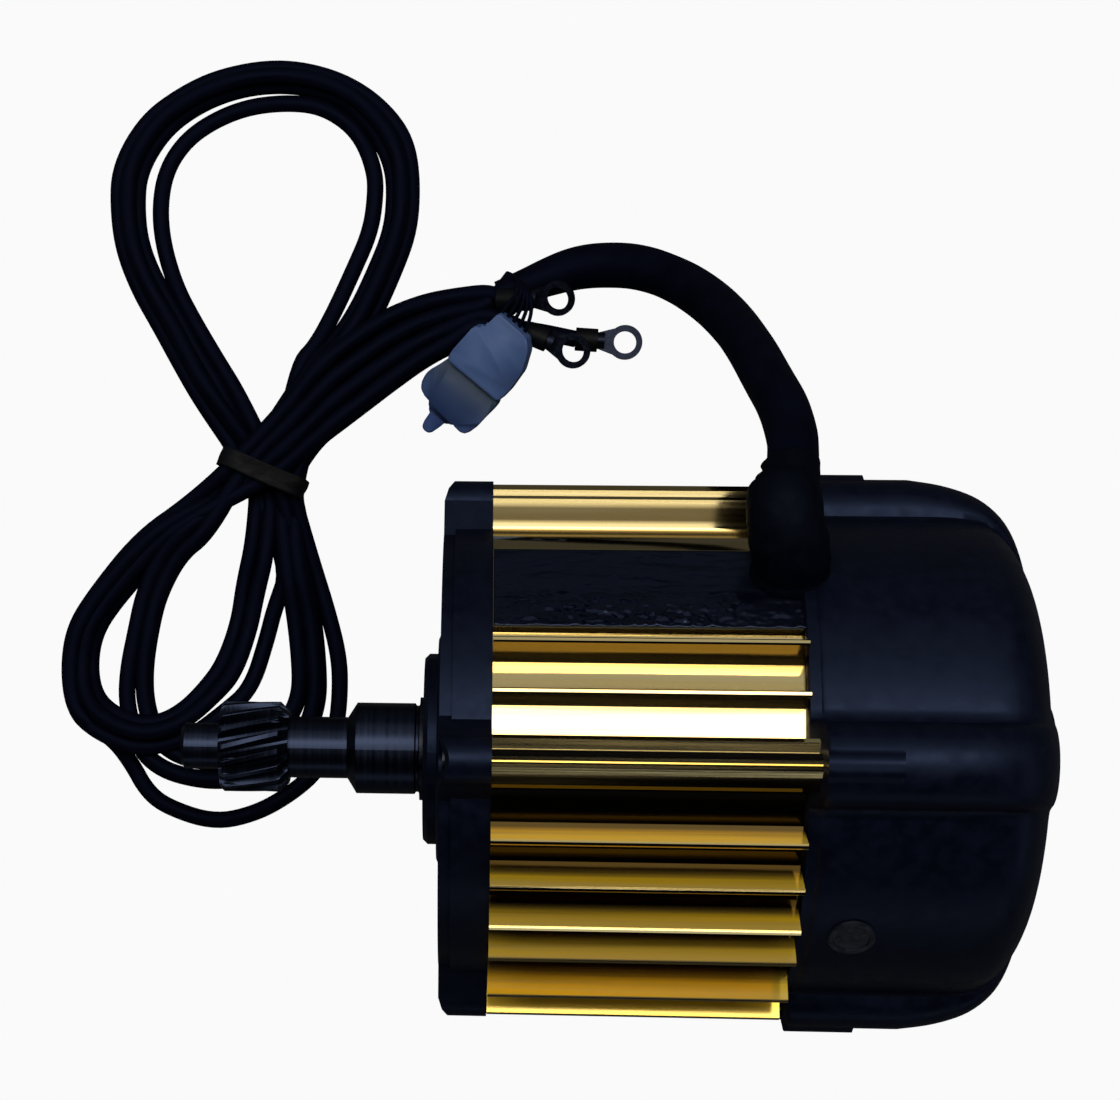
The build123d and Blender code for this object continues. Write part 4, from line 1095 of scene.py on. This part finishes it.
@dataclass
class Boot:
    """Moulded rubber elbow: a round foot on the land that turns into a bent neck round the cable.

    Each station gives the distance along the middle line, the place along the shaft and the two
    half widths. Each nub gives its distance along and its height, on the side of the pinion.
    """

    start: Pair = (43.15, 35.75)
    rise: float = 7.0
    bend: float = 14.0
    sweep: float = 75.0
    step: float = 0.4
    around: int = 96
    stations: tuple[tuple[float, ...], ...] = (
        (0.0, 84.2, 9.9, 9.1), (3.6, 84.2, 10.0, 9.2), (4.6, 84.1, 9.6, 8.9),
        (5.4, 84.0, 9.2, 8.5), (8.0, 83.7, 9.5, 8.4), (13.0, 82.8, 9.6, 8.3),
        (20.0, 81.8, 9.2, 8.1), (25.5, 81.8, 8.8, 7.9), (28.2, 83.5, 7.2, 7.2),
        (32.8, 84.2, 6.7, 6.7), (33.9, 84.3, 6.2, 6.2),
    )
    nubs: tuple[Pair, ...] = ((28.8, 1.5), (32.4, 1.1))
    nub_width: float = 0.9
    nub_narrowing: int = 12
    grain: Pair = (0.09, 0.28)
    fold: Pair = (0.075, 0.10)
    crisp: float = 50.0

    def path(self, along: float) -> tuple[Vector, Vector]:
        """Place on the middle line and the direction across it, both in the YZ plane.

        Args:
            along: distance along the middle line.
        Returns:
            The place and the direction.
        """
        foot = Vector((0.0, *self.start))
        if along < self.rise:
            return foot + LAND_UP * along, LAND_ACROSS
        arc = math.radians(self.sweep)
        hub = foot + LAND_UP * self.rise - LAND_ACROSS * self.bend
        spun = Quaternion((1.0, 0.0, 0.0), -min((along - self.rise) / self.bend, arc))
        over = max(0.0, along - self.rise - self.bend * arc)
        return hub + (spun @ LAND_ACROSS) * self.bend + (spun @ LAND_UP) * over, spun @ LAND_ACROSS

    def corner(self, along: float, angle: float) -> Vector:
        """Place on the surface, with its nubs, grain and folds.

        Args:
            along: distance along the middle line.
            angle: angle round it, from the shaft's direction.
        Returns:
            The place in millimetres.
        """
        middle, across = self.path(along)
        x, wide, thick = eased(self.stations, along)
        c, s = math.cos(angle), math.sin(angle)
        place = Vector((x + wide * c, 0, 0)) + middle + across * (thick * s)
        for at, height in self.nubs:
            reach = math.exp(-(((along - at) / self.nub_width) ** 2))
            place.x -= height * reach * max(0.0, -c) ** self.nub_narrowing
        grain = noise.fractal(place * self.grain[0], 1.0, 2.0, 4)
        fold = noise.ridged_multi_fractal(place * self.fold[0], 1.0, 2.0, 2, 1.0, 2.0)
        outward = Vector((c, 0, 0)) + across * s
        return place + outward * (self.grain[1] * grain - self.fold[1] * fold)

    def build(self) -> None:
        """Makes the boot as one closed surface."""
        shape = bmesh.new()
        length = self.stations[-1][0]
        count = round(length / self.step)
        turns = [2 * math.pi * spoke / self.around for spoke in range(self.around)]
        rings = [
            [shape.verts.new(self.corner(length * index / count, turn) * MM) for turn in turns]
            for index in range(count + 1)
        ]
        loft(shape, rings)
        piece = from_bmesh("boot", shape)
        piece.data.set_sharp_from_angle(angle=math.radians(self.crisp))
        RUBBER.dress(piece)
        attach(piece, "housing")
        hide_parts("cable_boot")


def ring_tree() -> NodeTree:
    """Makes the node tree that turns copies of a shape round the X axis.

    Returns:
        The tree, with the inputs Count, Play, Seed and Material. Play is the most that a copy is
        turned away from its place, in radians.
    """
    tree = bpy.data.node_groups.new("ring_of_copies", "GeometryNodeTree")
    kinds = {"Geometry": "Geometry", "Count": "Int", "Play": "Float", "Seed": "Int"}
    for name, kind in (*kinds.items(), ("Material", "Material")):
        tree.interface.new_socket(name, in_out="INPUT", socket_type="NodeSocket" + kind)
    tree.interface.new_socket("Geometry", in_out="OUTPUT", socket_type="NodeSocketGeometry")
    given = add_node(tree, "NodeGroupInput").outputs
    count, play = given["Count"], given["Play"]
    back = maths(tree, "MULTIPLY", play, -1.0)
    index = add_node(tree, "GeometryNodeInputIndex").outputs[0]
    step = maths(tree, "MULTIPLY", index, maths(tree, "DIVIDE", 2 * math.pi, count))
    chance = add_node(tree, "FunctionNodeRandomValue", {2: back, 3: play, "Seed": given["Seed"]})
    turn = maths(tree, "ADD", step, chance.outputs[1])
    angles = add_node(tree, "ShaderNodeCombineXYZ", {"X": turn}).outputs[0]
    rotation = add_node(tree, "FunctionNodeEulerToRotation", {0: angles}).outputs[0]
    points = add_node(tree, "GeometryNodePoints", {"Count": count}).outputs[0]
    placed = {"Points": points, "Instance": given["Geometry"]}
    copies = add_node(tree, "GeometryNodeInstanceOnPoints", placed).outputs[0]
    spun = {"Instances": copies, "Rotation": rotation}
    turned = add_node(tree, "GeometryNodeRotateInstances", spun).outputs[0]
    real = add_node(tree, "GeometryNodeRealizeInstances", {0: turned}).outputs[0]
    dressed = {"Geometry": real, "Material": given["Material"]}
    result = add_node(tree, "GeometryNodeSetMaterial", dressed).outputs[0]
    add_node(tree, "NodeGroupOutput", {0: result})
    return tree


@dataclass
class PinionTeeth:
    """Helical teeth of the pinion: one tooth, set round the shaft by geometry nodes.

    The flank gives shares of the tooth's pitch and the radius there, from the root to the tip.
    """

    count: int = 16
    start: float = -57.56
    end: float = -39.64
    tip: float = 11.8
    root: float = 9.27
    inner: float = 8.2
    twist: float = -22.5
    sections: int = 30
    chamfer: float = 1.0
    runout: Pair = (0.2, 0.97)
    front_steps: tuple[float, ...] = (0.0, 0.35, 0.7, 1.0)
    rear_steps: tuple[float, ...] = (2.4, 1.8, 1.2, 0.6, 0.0)
    play: float = 0.0006
    seed: int = 7
    crisp: float = 28.0
    flank: tuple[Pair, ...] = (
        (0.500, 9.27), (0.405, 9.27), (0.378, 9.36), (0.330, 9.72), (0.290, 10.10), (0.256, 10.50),
        (0.215, 10.98), (0.160, 11.55), (0.142, 11.72), (0.118, 11.8),
    )

    def limit(self, x: float) -> float:
        """Radius of the turned envelope at a place along the shaft."""
        front = self.tip - self.chamfer + (x - self.start)
        return min(self.tip, front, self.root + self.runout[0] + (self.end - x) * self.runout[1])

    def places(self) -> list[float]:
        """Places of the sections along the shaft, closer together at the ends.

        Returns:
            Places in millimetres, front to rear.
        """
        first, last = self.start + self.front_steps[-1], self.end - self.rear_steps[0]
        middle = [first + (last - first) * i / self.sections for i in range(self.sections + 1)]
        front = [self.start + step for step in self.front_steps[:-1]]
        return [*front, *middle, *(self.end - step for step in self.rear_steps[1:])]

    def tooth(self) -> bpy.types.Object:
        """Makes one tooth with its share of the root.

        Returns:
            The tooth, on the Z side of the shaft.
        """
        pitch = 2 * math.pi / self.count
        half = [(self.flank[0][0], self.inner), *self.flank]
        outline = [(-share, radius) for share, radius in half]
        outline += [(share, radius) for share, radius in reversed(half)]
        shape = bmesh.new()
        rings = []
        for x in self.places():
            turned = math.radians(self.twist) * (x - self.start) / (self.end - self.start)
            ring = []
            for share, radius in outline:
                angle = turned + share * pitch
                reach = min(radius, self.limit(x))
                place = Vector((x, reach * math.cos(angle), reach * math.sin(angle)))
                ring.append(shape.verts.new(place * MM))
            rings.append(ring)
        loft(shape, rings)
        return from_bmesh("tooth", shape)

    def build(self) -> None:
        """Makes the ring of teeth as one mesh that turns with the rotor."""
        tooth = self.tooth()
        tree = ring_tree()
        ring = tooth.modifiers.new("ring", "NODES")
        ring.node_group = tree
        sockets = [item for item in tree.interface.items_tree if item.in_out == "INPUT"]
        given = {socket.name: socket.identifier for socket in sockets}
        values = {"Count": self.count, "Play": self.play, "Seed": self.seed}
        for name, value in (*values.items(), ("Material", STEEL.build())):
            ring[given[name]] = value
        piece = as_mesh("pinion_teeth", [tooth])
        STEEL.dress(piece)
        piece.data.set_sharp_from_angle(angle=math.radians(self.crisp))
        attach(piece, "rotor")


@dataclass
class Tie:
    """Flat band wrapped round the waist of the hank, with a little slack and skew."""

    half: float = 12.6
    top: float = 14.0
    squareness: float = 0.62
    bite: float = 0.4
    width: float = 5.6
    thickness: float = 0.7
    slack: float = 0.35
    slack_waves: Pair = (9.0, 2.0)
    skew: float = 0.6
    skew_waves: float = 5.0
    lowest: float = 0.15
    around: int = 96
    across: int = 10

    def outline(self, share: float, grow: float) -> Pair:
        """Point of the wrapped outline: across the bundle and up, in millimetres.

        Args:
            share: place round the outline, 0 to 1.
            grow: how far the outline is offset outward.
        Returns:
            Distance along the waist and height above the floor.
        """
        angle = 2 * math.pi * share
        c, s = math.cos(angle), math.sin(angle)
        middle = self.top / 2
        side = (self.half + grow) * math.copysign(abs(c) ** self.squareness, c)
        rise = middle + (middle + grow - self.bite) * math.copysign(abs(s) ** self.squareness, s)
        return side, rise

    def build(self) -> None:
        """Makes the band as one closed strip."""
        start, end = (Vector((*p, 0.0)) for p in WAIST)
        along = (end - start).normalized()
        run = along.cross(Vector((0.0, 0.0, 1.0)))
        centre = (start + end) / 2
        inward = [(0, j) for j in range(self.across + 1)]
        outward = [(1, j) for j in range(self.across, -1, -1)]
        shape = bmesh.new()
        rings = []
        for i in range(self.around):
            share = i / self.around
            skew = self.skew * noise.noise(Vector((share * self.skew_waves, 1.0, 8.0)))
            ring = []
            for layer, j in inward + outward:
                t = j / self.across - 0.5
                waves = Vector((share * self.slack_waves[0], t * self.slack_waves[1], 5.0))
                sag = self.slack * noise.noise(waves)
                side, rise = self.outline(share, layer * self.thickness + sag)
                place = centre + along * side + run * (t * self.width + skew)
                place.z += FLOOR + max(self.lowest, rise)
                ring.append(shape.verts.new(place * MM))
            rings.append(ring)
        loft(shape, [*rings, rings[0]], capped=False)
        piece = from_bmesh("tie", shape)
        TAPE.dress(piece)
        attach(piece, "housing")
        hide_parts("hank_tie")


def flow(points: Sequence[Pair], count: int, fineness: int = 12) -> list[Pair]:
    """Samples a smooth curve through points at even distances.

    Args:
        points: points the curve goes through.
        count: number of samples, ends included.
        fineness: straight pieces between two points, for measuring.
    Returns:
        The samples.
    """
    held = [Vector(p) for p in (points[0], *points, points[-1])]
    fine = []
    for a, b, c, d in zip(held, held[1:], held[2:], held[3:]):
        for step in range(fineness):
            t = step / fineness
            square, cube = 2 * a - 5 * b + 4 * c - d, 3 * b - a - 3 * c + d
            fine.append(0.5 * (2 * b + (c - a) * t + square * t * t + cube * t**3))
    fine.append(held[-1])
    reach = [0.0]
    for a, b in zip(fine, fine[1:]):
        reach.append(reach[-1] + (b - a).length)
    samples = []
    index = 0
    for step in range(count):
        want = reach[-1] * step / (count - 1)
        while index < len(fine) - 2 and reach[index + 1] < want:
            index += 1
        span = reach[index + 1] - reach[index]
        t = (want - reach[index]) / span if span else 0.0
        samples.append(tuple(fine[index].lerp(fine[index + 1], min(1.0, t))))
    return samples


@dataclass
class Cover:
    """Cast rear cover: a dome whose four humps flow into its end, a tie-bolt pad on each, and the
    bearing seat inside.

    The tables give a place along the shaft and the radius there. The place counts from the mating
    face in spigot, from the cover's end in hollow and the curves, and from the origin in seat.
    """

    start: float = 89.5
    skirt: float = 86.3
    skirt_bore: float = 58.35
    skirt_chamfer: float = 0.8
    skirt_lead: float = 0.5
    straight_end: float = 118.0
    end: float = 150.8
    dome: float = 60.6
    dome_edge: float = 0.4
    hump: float = 70.7
    hump_edge: float = 0.5
    hump_half: float = 10.2
    hump_power: float = 2.2
    foot_half: float = 13.2
    foot_height: float = 0.30
    foot_reach: float = 0.5
    pad: float = 72.0
    pad_half: float = 3.55
    pad_crest: float = 0.15
    pad_end: float = 107.0
    front_rings: tuple[float, float, int] = (0.5, 1.5, 11)
    rear_rings: int = 44
    crisp: float = 40.0
    straight_steps: tuple[float, ...] = (106.0, 106.5, 106.8, 107.0, 107.3, 110.0, 113.0, 115.5)
    dome_curve: tuple[Pair, ...] = (
        (-22.0, 60.6), (-15.0, 59.5), (-10.5, 56.4), (-7.0, 51.1), (-4.8, 44.6), (-2.4, 32.6),
        (-0.8, 21.6), (0.0, 15.6),
    )
    hump_curve: tuple[Pair, ...] = (
        (-24.0, 69.3), (-16.0, 66.6), (-10.5, 62.6), (-7.0, 57.8), (-4.4, 51.0), (-2.6, 43.0),
        (-1.0, 32.0), (0.2, 22.0), (0.6, 15.6),
    )
    boss_curve: tuple[Pair, ...] = ((0.9, 15.1), (3.2, 14.6), (3.8, 14.0), (3.9, 7.3))
    spigot: tuple[Pair, ...] = ((0.0, 51.9), (-3.5, 51.9), (-3.5, 48.6), (2.0, 48.6), (4.0, 55.0))
    hollow: tuple[Pair, ...] = ((-20.0, 55.0), (-13.0, 50.0), (-10.0, 40.0), (-9.0, 25.0))
    seat: tuple[Pair, ...] = ((125.0, 24.5), (125.0, 17.52), (147.4, 17.52), (147.4, 8.0))
    hump_columns: tuple[float, float, int] = (-13.0, 0.42, 62)
    dome_columns: tuple[float, float, int] = (13.04, 64.0 / 24, 24)

    def stations(self) -> list[tuple[float, float, float, float]]:
        """Rings of the outside, as dome x, dome radius, hump x and hump radius, front to rear.

        Returns:
            The stations.
        """
        rings = [(self.start, self.dome - self.dome_edge, self.start, self.hump - self.hump_edge)]
        first, step, count = self.front_rings
        steps = [self.start + first + step * i for i in range(count)] + list(self.straight_steps)
        rings += [(x, self.dome, x, self.hump) for x in steps]
        curves = []
        for radius, curve in ((self.dome, self.dome_curve), (self.hump, self.hump_curve)):
            points = [(self.straight_end, radius), *((self.end + x, r) for x, r in curve)]
            curves.append(flow(points, self.rear_rings))
        rings += [(*a, *b) for a, b in zip(*curves)]
        return rings + [(self.end + x, r, self.end + x, r) for x, r in self.boss_curve]

    def inside(self) -> list[Pair]:
        """Profile of the inside, from the bearing seat's end to the skirt's outer edge.

        Returns:
            Places along the shaft and radii.
        """
        profile = [(self.start + x, r) for x, r in self.spigot]
        profile += [(self.end + x, r) for x, r in self.hollow]
        profile += self.seat
        skirt = (
            (self.start, self.skirt_bore),
            (self.skirt, self.skirt_bore),
            (self.skirt, self.dome - self.skirt_chamfer),
            (self.skirt + self.skirt_lead, self.dome),
        )
        return [*reversed(profile), *skirt]

    def height(self, off: float) -> float:
        """Share of the hump's height at a distance across from its crest.

        Args:
            off: the distance, in millimetres.
        Returns:
            The share: 1 on the crest and 0 on the dome.
        """
        t = abs(off) / self.hump_half
        crown = math.sqrt(max(0.0, 1.0 - t**self.hump_power))
        reach = self.foot_half / self.hump_half
        slope = min(1.0, max(0.0, (reach - t) / self.foot_reach))
        return max(crown, self.foot_height * slope**2) if t < reach else 0.0

    def columns(self) -> list[float]:
        """Angles of the columns, closer together over the humps.

        Returns:
            Angles in degrees, in order.
        """
        angles = []
        for quarter in (0.0, 90.0, 180.0, 270.0):
            start, step, count = self.hump_columns
            angles += [quarter + start + step * i for i in range(count)]
            start, step, count = self.dome_columns
            angles += [quarter + start + step * (i + 0.5) for i in range(count)]
        return angles

    def outside(self, station: tuple[float, float, float, float], angle: float) -> Pair:
        """Place and radius of the outside at an angle.

        Args:
            station: dome x, dome radius, hump x and hump radius.
            angle: angle round the shaft, with humps at each quarter.
        Returns:
            Place along the shaft and radius.
        """
        dome_x, dome_r, hump_x, hump_r = station
        off = dome_r * math.sin(math.radians((angle + 45.0) % 90.0 - 45.0))
        share = self.height(off)
        x, radius = dome_x + (hump_x - dome_x) * share, dome_r + (hump_r - dome_r) * share
        if abs(off) < self.pad_half and x < self.pad_end:
            rise = self.pad - self.pad_half + math.sqrt(self.pad_half**2 - off**2)
            radius = max(radius, min(rise, self.pad - self.pad_crest))
        return x, radius

    def build(self) -> None:
        """Makes the cover as one closed surface."""
        columns = self.columns()
        profiles = [[place] * len(columns) for place in self.inside()]
        profiles += [[self.outside(ring, angle) for angle in columns] for ring in self.stations()]
        shape = bmesh.new()
        rings = []
        for profile in profiles:
            ring = []
            for (x, radius), angle in zip(profile, columns):
                turn = math.radians(angle)
                place = Vector((x, -radius * math.sin(turn), radius * math.cos(turn)))
                ring.append(shape.verts.new(place * MM))
            rings.append(ring)
        loft(shape, rings, capped=False)
        for rim in (rings[0], rings[-1]):
            middle = shape.verts.new(Vector((rim[0].co.x, 0.0, 0.0)))
            for a, b in zip(rim, rim[1:] + rim[:1]):
                shape.faces.new((a, b, middle))
        piece = from_bmesh("cover", shape)
        piece.data.set_sharp_from_angle(angle=math.radians(self.crisp))
        PAINT.dress(piece)
        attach(piece, "housing")
        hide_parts("rear_cover")


def rounded(
    corners: Sequence[Pair], radius: float, steps: int = 4, most: float = 0.45
) -> list[Pair]:
    """Rounds the corners of a closed outline.

    Args:
        corners: corner points in order.
        radius: how far from a corner the rounding starts.
        steps: segments in a rounding.
        most: largest share of a side that a rounding takes.
    Returns:
        The new outline.
    """
    outline = []
    count = len(corners)
    for index in range(count):
        before, here, after = (Vector(corners[(index + shift) % count]) for shift in (-1, 0, 1))
        start = here + (before - here) * min(most, radius / (before - here).length)
        end = here + (after - here) * min(most, radius / (after - here).length)
        for step in range(steps + 1):
            t = step / steps
            outline.append(tuple((1 - t) ** 2 * start + 2 * t * (1 - t) * here + t * t * end))
    return outline


@dataclass
class Connector:
    """Moulded nylon housing of the hall lead: a body, and a lower nose that ends in a prong.

    Outlines are in the connector's own plane: first towards the mouth, then across.
    """

    origin: Point = (15.1, 114.7, -62.1)
    ahead: Pair = (-0.637, -0.771)
    tilt: float = 17.0
    body: tuple[Pair, ...] = (
        (-6.0, -4.6), (-5.8, 5.9), (-2.9, 8.6), (2.6, 10.9), (9.0, 11.3), (13.3, 10.9),
        (13.4, -7.9), (10.3, -8.3), (1.2, -7.8), (0.1, -5.4),
    )
    nose: tuple[Pair, ...] = (
        (12.9, -7.9), (12.9, 10.9), (16.2, 11.1), (20.3, 10.6), (25.6, 10.3), (27.8, 8.0),
        (26.2, 3.1), (33.7, 1.6), (33.7, -1.9), (26.4, -2.5), (25.4, -9.0), (20.2, -10.4),
        (15.0, -8.4),
    )
    body_span: Pair = (0.0, 8.4)
    nose_span: Pair = (0.9, 7.3)
    body_corner: float = 0.8
    nose_corner: float = 2.2
    edge: float = 0.7
    edge_segments: int = 3
    # Length along the nose over which its painted shade fades out.
    fade: float = 16.0

    def frame(self) -> Matrix:
        """Places the connector's plane in the scene, in millimetres.

        Returns:
            The transform from the plane to the scene.
        """
        drop = math.radians(self.tilt)
        flat = Vector(self.ahead) * math.cos(drop)
        ahead = Vector((*flat, -math.sin(drop))).normalized()
        side = Vector((0.0, 0.0, 1.0)).cross(ahead).normalized()
        turn = Matrix((ahead, side, ahead.cross(side))).transposed()
        return Matrix.Translation(self.origin) @ turn.to_4x4()

    def block(
        self, name: str, outline: Sequence[Pair], span: Pair, corner: float
    ) -> bpy.types.Object:
        """Makes a prism with rounded corners and edges, at its place.

        Args:
            name: name of the piece.
            outline: its corners in the connector's plane.
            span: heights of its lower and upper side.
            corner: rounding of the outline.
        Returns:
            The piece, with an attribute that says how far along the nose each point lies, which
            fades the nose's painted shade.
        """
        shape = bmesh.new()
        flat = rounded(outline, corner)
        loft(shape, [[shape.verts.new((u, v, level)) for u, v in flat] for level in span])
        rims = [edge for edge in shape.edges if len({round(v.co.z, 3) for v in edge.verts}) == 1]
        rounding = {"offset": self.edge, "segments": self.edge_segments, "profile": 0.5}
        bmesh.ops.bevel(shape, geom=rims, affect="EDGES", **rounding)
        bmesh.ops.triangulate(shape, faces=[f for f in shape.faces if len(f.verts) > 4])
        piece = from_bmesh(name, shape)
        along = piece.data.attributes.new("along", "FLOAT", "POINT")
        start = self.nose[0][0]
        for share, vertex in zip(along.data, piece.data.vertices):
            share.value = max(0.0, min(1.0, (vertex.co.x - start) / self.fade))
        piece.data.transform(Matrix.Diagonal((MM, MM, MM, 1.0)) @ self.frame())
        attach(piece, "housing")
        return piece

    def build(self) -> None:
        """Makes the body and the nose."""
        body = self.block("connector_body", self.body, self.body_span, self.body_corner)
        NYLON.dress(body)
        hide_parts("hall_connector")
        NOSE.dress(self.block("connector_nose", self.nose, self.nose_span, self.nose_corner))


NODE_FINISHES: dict[Finish, tuple[str, ...]] = {
    PAINT: ("front_flange",),
    GOLD: ("stator_frame",),
    STEEL: ("rotor_shaft",),
    DARK_STEEL: ("tie_bolts", "flange_circlip", "wave_washer", "dust_ring"),
    RUBBER: ("oil_seal",),
    PLUG: ("side_plug",),
    BRONZE: ("connector_contacts",),
    TINNED: ("ring_terminal_a", "ring_terminal_b", "ring_terminal_c"),
    SLEEVE: ("terminal_sleeve_a", "terminal_sleeve_b", "terminal_sleeve_c"),
    COPPER: ("stator_windings",),
    LAMINATION: ("stator_core", "rotor_core"),
    RESIN: ("insulator_front", "insulator_rear", "board_posts"),
    BOARD: ("hall_board",),
    MAGNET: ("rotor_magnets", "balance_ring_front", "balance_ring_rear"),
    BEARING: (
        "front_bearing_inner",
        "front_bearing_outer",
        "front_bearing_balls",
        "rear_bearing_inner",
        "rear_bearing_outer",
        "rear_bearing_balls",
    ),
}


def dress_nodes() -> None:
    """Gives every CAD node that is shown its finish."""
    for finish, nodes in NODE_FINISHES.items():
        for name in nodes:
            finish.dress(bpy.data.objects[name])


def main() -> None:
    """Builds the scene piece by piece."""
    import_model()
    bpy.context.scene.view_settings.view_transform = "Standard"
    for effect in EFFECTS:
        effect.build()
    for part in (
        Camera(), HallWires(), Connector(), Trunk(), Hank(), Studio(),
        LandFilm(), Boot(), Tie(), Cover(), PinionTeeth(),
    ):
        part.build()
        log.info("built %s", type(part).__name__)
    dress_nodes()


if __name__ == "__main__":
    logging.basicConfig(level=logging.INFO)
    main()
